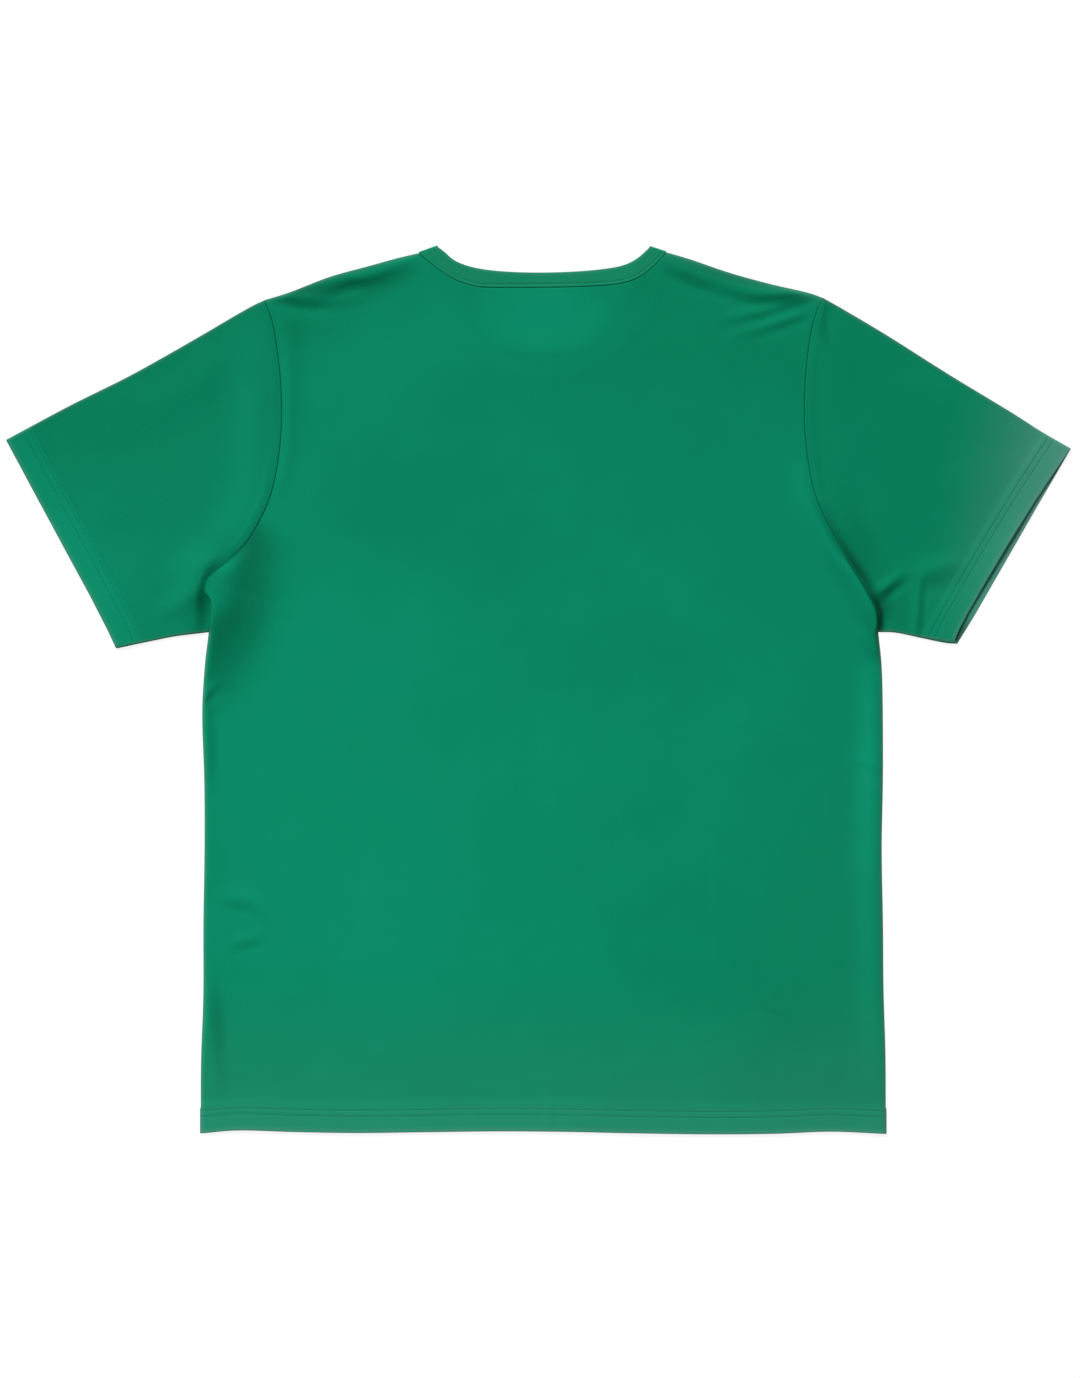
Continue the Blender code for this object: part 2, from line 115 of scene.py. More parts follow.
softbox_light = bpy.data.lights.new("softbox", "SUN")
softbox_light.energy = SOFTBOX_LIGHT
softbox_light.angle = math.radians(SOFTBOX_ANGLE)
softbox = bpy.data.objects.new("softbox", softbox_light)
softbox.rotation_euler = Vector(SOFTBOX_FROM).to_track_quat("Z", "Y").to_euler()
bpy.context.scene.collection.objects.link(softbox)

lens = bpy.data.cameras.new("camera")
lens.lens = LENS
lens.sensor_width = SENSOR
lens.clip_end = VIEW_DEPTH
camera = bpy.data.objects.new("camera", lens)
camera.location = (VIEW_MIDDLE[0] * MM, VIEW_MIDDLE[1] * MM, VIEW_HEIGHT * MM * LENS / SENSOR)
bpy.context.scene.collection.objects.link(camera)
bpy.context.scene.camera = camera
bpy.context.scene.view_settings.view_transform = "Standard"


# ---------------------------------------------------------------------------------------------------------
# Front panel. One piece of smooth polyester jersey, cut with the deeper of the two neck curves. It lies
# underneath with its outer side on the table. Its hem is folded up inside and sewn with two needles.

CLOTH = 0.7  # thickness of the jersey
FLAT_HEIGHT = 2.7  # top of the garment where its two layers lie on each other
HEM_DEPTH = 20.0
FOLD_RADIUS = 0.8  # of the cloth's outer side where it is folded back on itself
HEM_LEDGE = 0.5  # the hem's full thickness goes on this far past its depth
HEM_EASE = 6.0  # and is gone this far past it
NEEDLE_LINES = (13.1, 18.0)  # above the hem's edge
NEEDLE_GROOVE = 0.2  # depth to which the stitches draw the cloth in
NEEDLE_WIDTH = 1.1
PANEL_SPAN = 684.0  # from the hem to the top of a panel's grid
PANEL_WIDTH = 556.0
EDGE_FADE = 3  # the power by which the bend of a panel's edge fades from the rows inside it
SIDE_PART = 0.6  # the part of a panel's side edge, from hem to shoulder, that is side seam
NECK_PART = 0.32  # the part of its top edge that is one shoulder seam
SEAM_GAP = 0.06
LAP = 2.6  # how far the back laps over a sleeve at the underarm
SIDE_ROLL = (1.35, 4.4)  # how far the cloth drops where it rolls over a side, and over what width
SEAM_ROLL = (0.55, 1.4)  # the same at a seam

SHOULDER_LEFT = (-224.7, 320.2)
SHOULDER_RIGHT = (234.1, 321.6)
NECK_LEFT = (-98.8, 358.6)
NECK_RIGHT = (105.2, 359.3)
HEM_LEFT = (-276.8, -362.0)
HEM_RIGHT = (284.6, -362.4)
UNDERARM_LEFT = (-270.3, 47.8)
UNDERARM_RIGHT = (278.4, 48.0)
# Outlines seen from above, as x, y. A smooth curve passes through the rows of each.
HEM = (
    HEM_LEFT,
    (-245.0, -359.5),
    (-200.0, -360.8),
    (-150.0, -361.6),
    (-95.0, -361.0),
    (-40.0, -360.3),
    (20.0, -360.6),
    (75.0, -361.8),
    (140.0, -362.7),
    (195.0, -362.2),
    (240.0, -360.5),
    HEM_RIGHT,
)
SIDE_LEFT = (
    HEM_LEFT,
    (-276.7, -305.0),
    (-274.8, -250.0),
    (-274.7, -190.0),
    (-273.8, -130.0),
    (-274.0, -75.0),
    (-275.7, -20.0),
    (-273.6, 20.0),
    UNDERARM_LEFT,
)
SIDE_RIGHT = (
    HEM_RIGHT,
    (284.4, -300.0),
    (282.8, -245.0),
    (282.3, -190.0),
    (281.3, -130.0),
    (282.3, -70.0),
    (282.1, -10.0),
    (281.1, 22.0),
    UNDERARM_RIGHT,
)
ARMHOLE_LEFT = (
    UNDERARM_LEFT,
    (-268.5, 71.2),
    (-274.8, 82.6),
    (-269.6, 93.9),
    (-259.2, 102.2),
    (-249.9, 111.0),
    (-235.8, 126.7),
    (-219.3, 161.1),
    (-211.4, 205.0),
    (-211.1, 251.3),
    (-217.2, 298.1),
    SHOULDER_LEFT,
)
ARMHOLE_RIGHT = (
    UNDERARM_RIGHT,
    (278.1, 65.2),
    (274.2, 74.4),
    (266.6, 87.4),
    (258.0, 100.2),
    (243.9, 124.2),
    (226.7, 161.1),
    (219.3, 202.1),
    (218.0, 240.0),
    (221.8, 284.9),
    (228.4, 311.5),
    SHOULDER_RIGHT,
)
SHOULDER_SEAM_LEFT = (
    SHOULDER_LEFT,
    (-204.0, 326.6),
    (-171.0, 339.3),
    (-138.0, 348.4),
    (-118.0, 354.0),
    NECK_LEFT,
)
SHOULDER_SEAM_RIGHT = (
    NECK_RIGHT,
    (125.0, 353.4),
    (157.0, 342.5),
    (190.0, 333.4),
    (220.0, 326.5),
    SHOULDER_RIGHT,
)


class NeckRow(NamedTuple):
    """A place on the front neck, which is alike on both sides of its own middle."""

    half_width: float
    y: float


FRONT_NECK_MIDDLE = 4.0
FRONT_NECK_EDGE = (
    NeckRow(88.0, 363.7),
    NeckRow(78.5, 335.0),
    NeckRow(62.0, 304.0),
    NeckRow(38.0, 280.0),
    NeckRow(0.0, 272.2),
)
FRONT_NECK_SEAM = (
    NeckRow(102.0, 358.2),
    NeckRow(91.5, 328.5),
    NeckRow(74.0, 296.0),
    NeckRow(46.0, 268.5),
    NeckRow(0.0, 259.9),
)


class Crease(NamedTuple):
    """A soft fold along a line of points. Its ridge is left of the line's direction, its trough right of it.

    Rises are the ridge's height at even steps along the line. The first and the last are 0.
    """

    line: tuple
    rises: tuple
    ridge_width: float
    trough_width: float
    trough_share: float


class Ridge(NamedTuple):
    """A rounded ridge with its crest along a line. It falls away over one width on the line's left and
    another on its right. Its rises are its height at even steps along the line."""

    line: tuple
    rises: tuple
    left_width: float
    right_width: float


class Swell(NamedTuple):
    """A low mound, or a hollow where its rise is below 0. Its turn is that of its length, in degrees."""

    x: float
    y: float
    length: float
    width: float
    turn: float
    rise: float


FRONT_CREASES = (
    Crease(((-268, 60), (-250, 20), (-241, -40)), (0, 0.5, 0.3, 0), 14, 16, 0.3),
    Crease(((262, 36), (248, -12), (243, -80)), (0, 0.4, 0.5, 0), 12, 18, 0.3),
    Crease(((-196, 300), (-150, 306), (-118, 322)), (0, 0.4, 0.5, 0), 10, 10, 0.3),
    Crease(((126, 318), (166, 303), (206, 304)), (0, 0.5, 0.4, 0), 10, 10, 0.3),
    Crease(((-214, -250), (-170, -262), (-120, -258)), (0, 0.3, 0.3, 0), 12, 14, 0.3),
)


def curve_through(rows, steps=12):
    """Closely spaced points on the smooth curve that passes through the rows of an outline."""
    rows = np.array(rows, float)
    ends = np.vstack([2 * rows[0] - rows[1], rows, 2 * rows[-1] - rows[-2]])
    t = np.linspace(0.0, 1.0, steps, endpoint=False)[:, None]
    pieces = []
    for before, start, end, after in zip(ends, ends[1:], ends[2:], ends[3:]):
        slope_in = (end - before) / 2
        slope_out = (after - start) / 2
        bend = 3 * (end - start) - 2 * slope_in - slope_out
        turn = slope_in + slope_out - 2 * (end - start)
        pieces.append(start + slope_in * t + bend * t**2 + turn * t**3)
    return np.vstack(pieces + [rows[-1:]])


def front_neck(rows):
    """Points down and round a front neck curve, from its left end to its right end."""
    left = [(FRONT_NECK_MIDDLE - row.half_width, row.y) for row in rows]
    right = [(FRONT_NECK_MIDDLE + row.half_width, row.y) for row in rows[-2::-1]]
    return curve_through(left + right)


def smooth(part):
    """Eases from 0 to 1 as the part goes from 0 to 1."""
    part = np.clip(part, 0.0, 1.0)
    return part * part * (3.0 - 2.0 * part)


def run_along(line):
    """How far along a line each of its points lies."""
    return np.concatenate([[0.0], np.cumsum(np.linalg.norm(np.diff(line, axis=0), axis=1))])


def reached(line):
    """The same, as a part of the line's length."""
    run = run_along(line)
    return run / run[-1]


def read_off(at, measure, line):
    """The points of a line at some values of a measure that grows along it."""
    return np.stack([np.interp(at, measure, line[:, axis]) for axis in range(line.shape[1])], axis=-1)


def points_on(line, parts):
    """The points at the given parts of the way along a line."""
    return read_off(parts, reached(line), line)


def beside(line, distance):
    """The line moved sideways by the distance, to the left of its own direction."""
    along = np.gradient(line, axis=0)
    along /= np.linalg.norm(along, axis=1)[:, None]
    return line + np.reshape(distance, (-1, 1)) * np.stack([-along[:, 1], along[:, 0]], axis=1)


def nearest(line, places):
    """Each place's distance from a line, above 0 on its left, and the part of the way along it."""
    flat = places.reshape(-1, 2)
    parts = reached(line)
    found = np.full(len(flat), np.inf)
    side = np.zeros(len(flat))
    along = np.zeros(len(flat))
    for start, end, first, last in zip(line, line[1:], parts, parts[1:]):
        run = end - start
        off = flat - start
        share = np.clip(off @ run / (run @ run), 0.0, 1.0)
        gap = np.linalg.norm(off - share[:, None] * run, axis=1)
        nearer = gap < found
        found = np.where(nearer, gap, found)
        side = np.where(nearer, np.sign(run[0] * off[:, 1] - run[1] * off[:, 0]), side)
        along = np.where(nearer, first + share * (last - first), along)
    return (found * side).reshape(places.shape[:-1]), along.reshape(places.shape[:-1])


def bump(offset, width):
    """A smooth hump of height 1, about as wide as the width."""
    return np.exp(-((2.0 * offset / width) ** 2))


FOLD_REACH = 3.0  # widths from a fold's line at which it has faded to nothing


def relief(folds, places):
    """How far the creases, ridges and swells raise the cloth at each place."""
    total = np.zeros(places.shape[:-1])
    for fold in folds:
        if isinstance(fold, Swell):
            turn = math.radians(fold.turn)
            off = places - (fold.x, fold.y)
            along = off[..., 0] * math.cos(turn) + off[..., 1] * math.sin(turn)
            across = off[..., 1] * math.cos(turn) - off[..., 0] * math.sin(turn)
            total += fold.rise * bump(along, fold.length) * bump(across, fold.width)
            continue
        line = curve_through(fold.line, steps=6)
        reach = FOLD_REACH * max(fold[2:4])
        close = np.all((places > line.min(axis=0) - reach) & (places < line.max(axis=0) + reach), axis=-1)
        if not close.any():
            continue
        off, part = nearest(line, places[close])
        knots = np.linspace(0.0, 1.0, len(fold.rises))
        rises = curve_through(np.stack([knots, fold.rises], axis=1), steps=8)
        if isinstance(fold, Ridge):
            form = bump(off, np.where(off > 0, fold.left_width, fold.right_width))
        else:
            form = bump(off - fold.ridge_width / 2, fold.ridge_width)
            form -= fold.trough_share * bump(off + fold.trough_width / 2, fold.trough_width)
        total[close] += np.interp(part, rises[:, 0], rises[:, 1]) * form
    return total


def ripple(places, size, height, seed):
    """Slow unevenness of cloth that was smoothed out by hand."""
    flat = places.reshape(-1, 2) / size
    found = [noise.noise((x, y, seed)) for x, y in flat]
    return height * np.array(found).reshape(places.shape[:-1])


def rolled(distance, roll):
    """How far a surface has dropped at a distance from the edge that it rolls over."""
    drop, run = roll
    return drop * (1.0 - np.sqrt(1.0 - np.clip(1.0 - distance / run, 0.0, 1.0) ** 2))


def between(bottom, top, left, right, across, up):
    """Places of a grid between four edges: the shape with straight sides, bent by each edge."""
    u, v = across[None, :, None], up[:, None, None]

    def straight(u, v):
        low = left[0] * (1 - u) + right[0] * u
        high = left[-1] * (1 - u) + right[-1] * u
        return low * (1 - v) + high * v

    bent = (bottom[None] - straight(u, 0.0)) * (1 - v) ** EDGE_FADE
    bent = bent + (top[None] - straight(u, 1.0)) * v**EDGE_FADE
    bent = bent + (left[:, None] - straight(0.0, v)) * (1 - u) ** EDGE_FADE
    bent = bent + (right[:, None] - straight(1.0, v)) * u**EDGE_FADE
    return straight(u, v) + bent


EDGE_STEPS = (0.3, 0.7, 1.2, 1.8, 2.6, 3.6, 5.0, 7.0, 9.5)  # rows beside a seam, from the seam
HEM_STEPS = (0.5, 1.2, 2.2, 4.0, 6.5, 9.0, 10.8, 11.9, 12.5, 13.1, 13.7, 14.3, 15.6, 16.8, 17.4, 18.0, 18.6)
HEM_STEPS += (19.6, 20.4, 21.0, 21.6, 22.4, 23.6, 26.0)
FOLD_STEPS = 6  # faces round a folded edge
TURNED_STEPS = (4.0, 9.0, 14.0, 19.0, 20.0)  # rows of the turned-up part, from the fold


def panel_places(neck_seam, armholes, columns, rows):
    """Places of a body panel's grid. Columns and rows count the even steps between the edges' own steps."""
    edge = np.array((0.0,) + EDGE_STEPS)
    start = edge[-1] / PANEL_WIDTH
    shoulder_columns = round(columns * (NECK_PART - start))
    half = np.concatenate([
        edge / PANEL_WIDTH,
        np.linspace(start, NECK_PART, shoulder_columns + 1)[1:],
        np.linspace(NECK_PART, 0.5, columns // 2 - shoulder_columns + 1)[1:],
    ])
    across = np.concatenate([half, 1.0 - half[-2::-1]])
    hem = np.array((0.0,) + HEM_STEPS) / PANEL_SPAN
    top = 1.0 - edge[::-1] / PANEL_SPAN
    side_rows = round(rows * SIDE_PART)
    up = np.concatenate([
        hem,
        np.linspace(hem[-1], SIDE_PART, side_rows + 1)[1:],
        np.linspace(SIDE_PART, top[0], rows - side_rows + 1)[1:-1],
        top,
    ])
    over = [curve_through(SHOULDER_SEAM_LEFT), neck_seam, curve_through(SHOULDER_SEAM_RIGHT)]
    ends = (0.0, NECK_PART, 1.0 - NECK_PART, 1.0)
    top_edge = np.zeros((len(across), 2))
    for line, first, last in zip(over, ends, ends[1:]):
        here = (across >= first) & (across <= last)
        top_edge[here] = points_on(line, (across[here] - first) / (last - first))
    sides = []
    for side, armhole in zip((SIDE_LEFT, SIDE_RIGHT), armholes):
        low = points_on(curve_through(side), np.minimum(up / SIDE_PART, 1.0))
        high = points_on(armhole, np.maximum(up - SIDE_PART, 0.0) / (1.0 - SIDE_PART))
        sides.append(np.where((up < SIDE_PART)[:, None], low, high))
    return between(points_on(curve_through(HEM), across), top_edge, sides[0], sides[1], across, up)


def with_turned_hem(places, heights, tone, haze, way):
    """Adds to a panel's rows the fold at its hem and the turned-up part inside. The way up is 1 or -1."""
    down = places[0] - places[1]
    down /= np.linalg.norm(down, axis=1)[:, None]
    rows, levels = [], []
    for step in TURNED_STEPS[::-1]:
        rows.append(places[0] - down * step)
        levels.append(heights[0] - way * 2 * FOLD_RADIUS)
    for step in range(FOLD_STEPS):
        angle = math.pi * step / FOLD_STEPS
        rows.append(places[0] + down * FOLD_RADIUS * math.sin(angle))
        levels.append(heights[0] - way * FOLD_RADIUS * (1 + math.cos(angle)))
    tone, haze = (
        np.concatenate([np.repeat(values[:1], len(rows), axis=0), values]) for values in (tone, haze)
    )
    return np.concatenate([rows, places]), np.concatenate([levels, heights]), tone, haze


DYE_PATCHES = (110.0, 1.5, 0.6)  # the dye's uneven patches: how wide, how detailed and how strong
DYE_FLECKS = (24.0, 3.0, 0.25)  # the same for its finer ones
PAINTED_FOLD_SHADE = "00140C"  # painted shade: the green that tone below 0 darkens towards, deep in a fold
FOLD_FADE = 0.32  # how much of the light one unit of tone below 0 takes away
HAZE_GREY = "508A7C"  # the grey-green that haze mixes in; along folded edges it is a painted highlight
RIB_PITCH = 2.2  # three times the real pitch, so that the ribs show
ROW_PITCH = 1.7  # the same for the rows of loops
LOOP_SHARE = 0.8  # a loop's height as a part of a rib's
FUZZ = (3.0, 2.0, 2.6)  # the fuzz's tufts: how wide, how detailed, and how high against a rib
KNIT_DEPTH = 0.15
KNIT_STRENGTH = 0.16


def node(tree, kind, links=None, **settings):
    """Adds a node. Each of its links is a socket that feeds an input, or that input's own value."""
    added = tree.nodes.new(kind)
    for name, value in settings.items():
        setattr(added, name, value)
    for name, source in (links or {}).items():
        if isinstance(source, bpy.types.NodeSocket):
            tree.links.new(source, added.inputs[name])
        else:
            added.inputs[name].default_value = source
    return added


def cloudy(tree, place, size, detail):
    """Adds a noise of the given size. Its value is 0.5 on the whole."""
    links = {"Vector": place, "Scale": 1 / (size * MM), "Detail": detail}
    return node(tree, "ShaderNodeTexNoise", links).outputs["Fac"]


def worked_out(tree, operation, *values):
    """Adds a node that works out one value from others."""
    return node(tree, "ShaderNodeMath", dict(enumerate(values)), operation=operation).outputs[0]


def mixed(tree, share, first, second, **settings):
    """Adds a node that mixes two colours, by the share of the second."""
    links = {"Factor": share, "A": first, "B": second}
    return node(tree, "ShaderNodeMix", links, data_type="RGBA", **settings).outputs["Result"]


def jersey(name, deep, pale):
    """Smooth matt polyester jersey: fine upright ribs of stitches and a dye that takes a little unevenly. The
    attribute tone is 0 on plain cloth and 1 on the palest, and carries painted light and shade: below 0 it is
    painted shade deep in a fold. Haze is how far the green has gone grey, with a painted highlight along
    folded edges."""
    material, shader = new_material(name, {"Roughness": 0.82, "Specular IOR Level": 0.06})
    tree = material.node_tree

    # dye, darkened towards the painted fold shade where tone is below 0, and greyed by haze, which holds
    # painted highlights along folded edges
    place = node(tree, "ShaderNodeTexCoord").outputs["Object"]
    uneven = node(tree, "ShaderNodeAttribute", attribute_name="tone").outputs["Fac"]
    for size, detail, strength in (DYE_PATCHES, DYE_FLECKS):
        uneven = worked_out(tree, "MULTIPLY_ADD", cloudy(tree, place, size, detail), strength, uneven)
    paleness = worked_out(tree, "MAXIMUM", uneven, 0.0)
    dyed = mixed(tree, paleness, linear(deep), linear(pale), clamp_factor=False)
    depth = worked_out(tree, "MINIMUM", uneven, 0.0)
    light = worked_out(tree, "MULTIPLY_ADD", depth, FOLD_FADE, 1.0)
    shaded = mixed(tree, light, linear(PAINTED_FOLD_SHADE), dyed)
    haze = node(tree, "ShaderNodeAttribute", attribute_name="haze").outputs["Fac"]
    tree.links.new(mixed(tree, haze, shaded, linear(HAZE_GREY)), shader.inputs["Base Color"])

    # knit: ribs, rows of loops that lean the other way on each next rib, and fuzz over both
    grain = node(tree, "ShaderNodeUVMap", uv_map="grain").outputs["UV"]
    parts = node(tree, "ShaderNodeSeparateXYZ", {"Vector": grain}).outputs
    rib = worked_out(tree, "MULTIPLY", parts["X"], 1 / (RIB_PITCH * MM))
    rib_part = worked_out(tree, "PINGPONG", rib, 1.0)
    row = worked_out(tree, "MULTIPLY_ADD", parts["Y"], 1 / (ROW_PITCH * MM), rib_part)
    loop = worked_out(tree, "PINGPONG", row, 0.5)
    knit = worked_out(tree, "MULTIPLY_ADD", loop, LOOP_SHARE, rib_part)
    size, detail, height = FUZZ
    surface = worked_out(tree, "MULTIPLY_ADD", cloudy(tree, place, size, detail), height, knit)
    relief_links = {"Height": surface, "Strength": KNIT_STRENGTH, "Distance": KNIT_DEPTH * MM}
    tree.links.new(node(tree, "ShaderNodeBump", relief_links).outputs["Normal"], shader.inputs["Normal"])
    return material


MERGE = 0.001  # points of a closed piece that lie this close are one


def cloth(name, places, heights, grain, tone, haze, material, facing_down=False, closed=False):
    """A piece of cloth: a grid laid on the outer side's places and heights, given its thickness inwards."""
    rows, columns = heights.shape
    bm = bmesh.new()
    bmesh.ops.create_grid(bm, x_segments=columns - 1, y_segments=rows - 1, size=0.5)
    tone_layer = bm.verts.layers.float.new("tone")
    haze_layer = bm.verts.layers.float.new("haze")
    cells = {}
    for vert in bm.verts:
        column = round((vert.co.x + 0.5) * (columns - 1))
        row = round((vert.co.y + 0.5) * (rows - 1))
        cells[vert.index] = (row, column)
        vert.co = (places[row, column, 0] * MM, places[row, column, 1] * MM, heights[row, column] * MM)
        vert[tone_layer] = tone[row, column]
        vert[haze_layer] = haze[row, column]
    grain_layer = bm.loops.layers.uv.new("grain")
    for face in bm.faces:
        for corner in face.loops:
            corner[grain_layer].uv = grain[cells[corner.vert.index]] * MM
    if facing_down:
        bmesh.ops.reverse_faces(bm, faces=bm.faces)
    if closed:
        bmesh.ops.remove_doubles(bm, verts=bm.verts, dist=MERGE * MM)
        bmesh.ops.recalc_face_normals(bm, faces=bm.faces)
    piece = new_piece(name, bm, material)
    wall = piece.modifiers.new("wall", "SOLIDIFY")
    wall.thickness = CLOTH * MM
    wall.offset = -1.0
    return piece


class Seam(NamedTuple):
    """A row of stitches: the places and heights that it runs through, and the way the cloth faces."""

    places: np.ndarray
    heights: np.ndarray
    way: int


STITCH_PITCH = 2.3
STITCH = (1.9, 0.42, 0.3)  # length, width and height of one stitch
STITCH_LOOK = 0.5  # a stitch is laid towards the point this far ahead
# a little darker than the cloth; the darker colour partly paints in the shade of the stitch holes
THREAD_DULL = "04553C"


def thread(name, colour):
    """Spun polyester thread, dyed with the cloth and matt; its darker colour partly paints in the shade of
    the stitch holes.
    """
    return new_material(name, {"Base Color": linear(colour), "Roughness": 0.7, "Specular IOR Level": 0.1})[0]


def stitches(name, seams, material):
    """Rows of stitches, each a small rounded spindle half sunk in the cloth."""
    bm = bmesh.new()
    for seam in seams:
        path = np.concatenate([seam.places, seam.heights[:, None]], axis=1)
        run = run_along(path)
        at = np.arange(STITCH_PITCH, run[-1] - STITCH_PITCH / 2, STITCH_PITCH)
        spots = read_off(at, run, path)
        for spot, way in zip(spots, read_off(at + STITCH_LOOK, run, path) - spots):
            lay = Vector(way).to_track_quat("X", "Z").to_matrix().to_4x4()
            size = Matrix.Diagonal([side * MM / 2 for side in STITCH] + [1.0])
            rise = Vector((0.0, 0.0, max(seam.way, 0) * STITCH[2] / 6))
            put = Matrix.Translation((Vector(spot) + rise) * MM) @ lay @ size
            bmesh.ops.create_icosphere(bm, subdivisions=1, radius=1.0, matrix=put)
    return new_piece(name, bm, material)


def needle_rows(places, heights, up, way):
    """The two rows of a panel's grid that its needle lines follow."""
    rows = [int(np.argmin(np.abs(up - line))) for line in NEEDLE_LINES]
    return [Seam(places[row], heights[row], way) for row in rows]


hem_line = curve_through(HEM)
shoulder_lines = (curve_through(SHOULDER_SEAM_LEFT), curve_through(SHOULDER_SEAM_RIGHT))
side_lines = (curve_through(SIDE_LEFT), curve_through(SIDE_RIGHT))
armhole_lines = (curve_through(ARMHOLE_LEFT), curve_through(ARMHOLE_RIGHT))
front_neck_seam = front_neck(FRONT_NECK_SEAM)
front_neck_edge = front_neck(FRONT_NECK_EDGE)


def to_nearest(lines, places):
    """Each place's distance from the nearest of several lines."""
    return np.min([np.abs(nearest(line, places)[0]) for line in lines], axis=0)


def hem_form(up):
    """What the hem does to a panel's outer side, as inward depth: the drop past its fold and its stitches."""
    thick = 1.0 - smooth((up - HEM_DEPTH - HEM_LEDGE) / (HEM_EASE - HEM_LEDGE))
    sewn = sum(bump(up - line, NEEDLE_WIDTH) for line in NEEDLE_LINES)
    return thick, NEEDLE_GROOVE * sewn


# Light and shade painted into the body's tone: above 0 painted light, below 0 painted shade.
BODY_PAINTED_SHADING = (
    # broad patches of painted light and shade
    Swell(-60.0, -150.0, 700.0, 620.0, 90.0, 0.30),
    Swell(-200.0, -20.0, 560.0, 260.0, 86.0, 0.40),
    Swell(140.0, 290.0, 300.0, 160.0, -10.0, -0.35),
    Swell(0.0, 296.0, 200.0, 70.0, 0.0, 0.28),
    Swell(-130.0, 150.0, 200.0, 120.0, 0.0, -0.3),
    Swell(-100.0, -190.0, 200.0, 130.0, 0.0, 0.3),
    Swell(240.0, -300.0, 120.0, 110.0, 0.0, -0.2),
    Swell(210.0, -250.0, 300.0, 220.0, 60.0, -0.3),
    # painted light inside the right side seam, and painted shade inside the left one
    Ridge(
        ((272, -330), (272, -200), (272, -100), (271, -10), (269, 44)),
        (0, 0.35, 0.5, 0.6, 0.75, 0.75, 0), 20, 10,
    ),
    Ridge(((-262, -240), (-262, -268), (-261, -300), (-258, -341)), (0, -0.85, -0.8, -0.5, 0), 12, 10),
    Ridge(((-270, 4), (-269, -20), (-268, -50), (-268, -90)), (0, -0.7, -0.8, 0), 8, 6),
    # along the shoulder seams, where the cloth turns away from the light
    Ridge(
        ((-222, 320), (-206, 325), (-190, 328), (-169, 336), (-150, 343), (-130, 349.5), (-112, 354)),
        (0, -1.1, -1.4, -1.2, -1.0, -0.8, 0), 10, 16,
    ),
    Ridge(((-176, 312), (-150, 322), (-130, 330), (-110, 338), (-94, 346)), (0, -0.6, -1.0, -0.7, 0), 12, 14),
    Swell(-190.0, 300.0, 80.0, 34.0, 10.0, -0.45),
    Ridge(((-196, 320), (-182, 323), (-168, 326.5), (-152, 330)), (0, -0.65, -0.65, 0), 7, 7),
    Ridge(((98, 356), (124, 348), (157, 338), (190, 329.5), (222, 322)), (0, -0.7, -0.8, -0.6, 0), 10, 12),
    Ridge(((100, 346), (124, 337), (150, 328)), (0, -0.7, 0), 8, 8),
    # painted shade deep in the folds at the underarms
    Ridge(
        (
            (-268, -10), (-266, 2), (-261, 21), (-255, 39), (-250, 57), (-244, 76), (-238, 93), (-229, 121),
            (-222, 140),
        ),
        (0, -0.5, -0.85, -1.0, -1.0, -0.95, -0.95, -0.6, 0), 26, 56,
    ),
    Ridge(
        ((-269, 0), (-266.5, 20), (-265, 35), (-264, 50), (-262, 64), (-260, 74)),
        (0, -0.35, -0.55, -0.8, -0.7, 0), 14, 14,
    ),
    Ridge(((-252, 100), (-244, 110), (-236, 122), (-228, 140)), (0, -0.5, -0.5, 0), 12, 12),
    Ridge(
        ((-256, 40), (-248, 60), (-243, 77), (-239, 95), (-233, 112), (-229, 128), (-224, 144)),
        (0, -0.3, -0.45, -0.4, -0.5, -0.65, 0), 22, 24,
    ),
    Ridge(((-244, 20), (-236, 40), (-229, 60), (-226, 80), (-224, 96)), (0, -0.35, -0.45, -0.3, 0), 16, 20),
    Ridge(((-271, 82), (-268.5, 92), (-260, 101)), (-0.7, -0.9, 0), 4, 5),
    Ridge(
        ((-267, 96), (-258, 104), (-250, 111), (-243, 118.5), (-236, 126.5)),
        (-0.6, -1.5, -1.7, -1.3, 0), 3, 3,
    ),
    Ridge(((280, 44), (278, 66), (267, 88), (244, 124), (228, 156)), (-0.4, -1.4, -0.9, -0.5, 0), 4, 4),
    Swell(270.5, 53.0, 26.0, 14.0, 90.0, -0.5),
    # painted shade inside the left armhole
    Ridge(
        ((-206, 306), (-200, 296), (-196, 284), (-194, 268), (-196, 250)),
        (0, -0.25, -0.25, -0.15, 0), 14, 12,
    ),
)
HEM_TONE = 0.3  # how much paler the hem's doubled cloth looks
DOUBLE_EDGE = 1.5  # width over which that ends
HEM_SHADE = (0.25, 3.0, 5.0)  # depth, distance and width of the shade just above the hem
HEM_HAZE = 0.05
LOW_HAZE = (0.09, -220.0, 140.0)  # how grey it goes low down: below this y, over this run
RIGHT_HAZE = (0.02, 120.0, 160.0, 40.0, 260.0)  # and at the right: past this x over a run, and below this y
EDGE_SHADE = 0.7  # how much darker it is where it rolls over an edge, away from the light
RIM_HIGHLIGHT = 0.32  # painted highlight: a pale grey rim along a folded edge
RIM_WIDTH = 3.6
HEM_RIM_HIGHLIGHT = (0.42, 5.0)  # painted highlight on the hem's folded edge: how grey it is, and up to what height
SHOULDER_HAZE = (0.07, 11.0)  # how grey it is beside the right shoulder seam, and over what width
LAP_END = (0.17, 0.12)  # the lap fades past this part of the armhole, over this part
LAP_START = 0.05  # it is at its widest past this part
CREASE_EDGE = 12.0  # the front's creases fade over this width beside its sides and shoulders


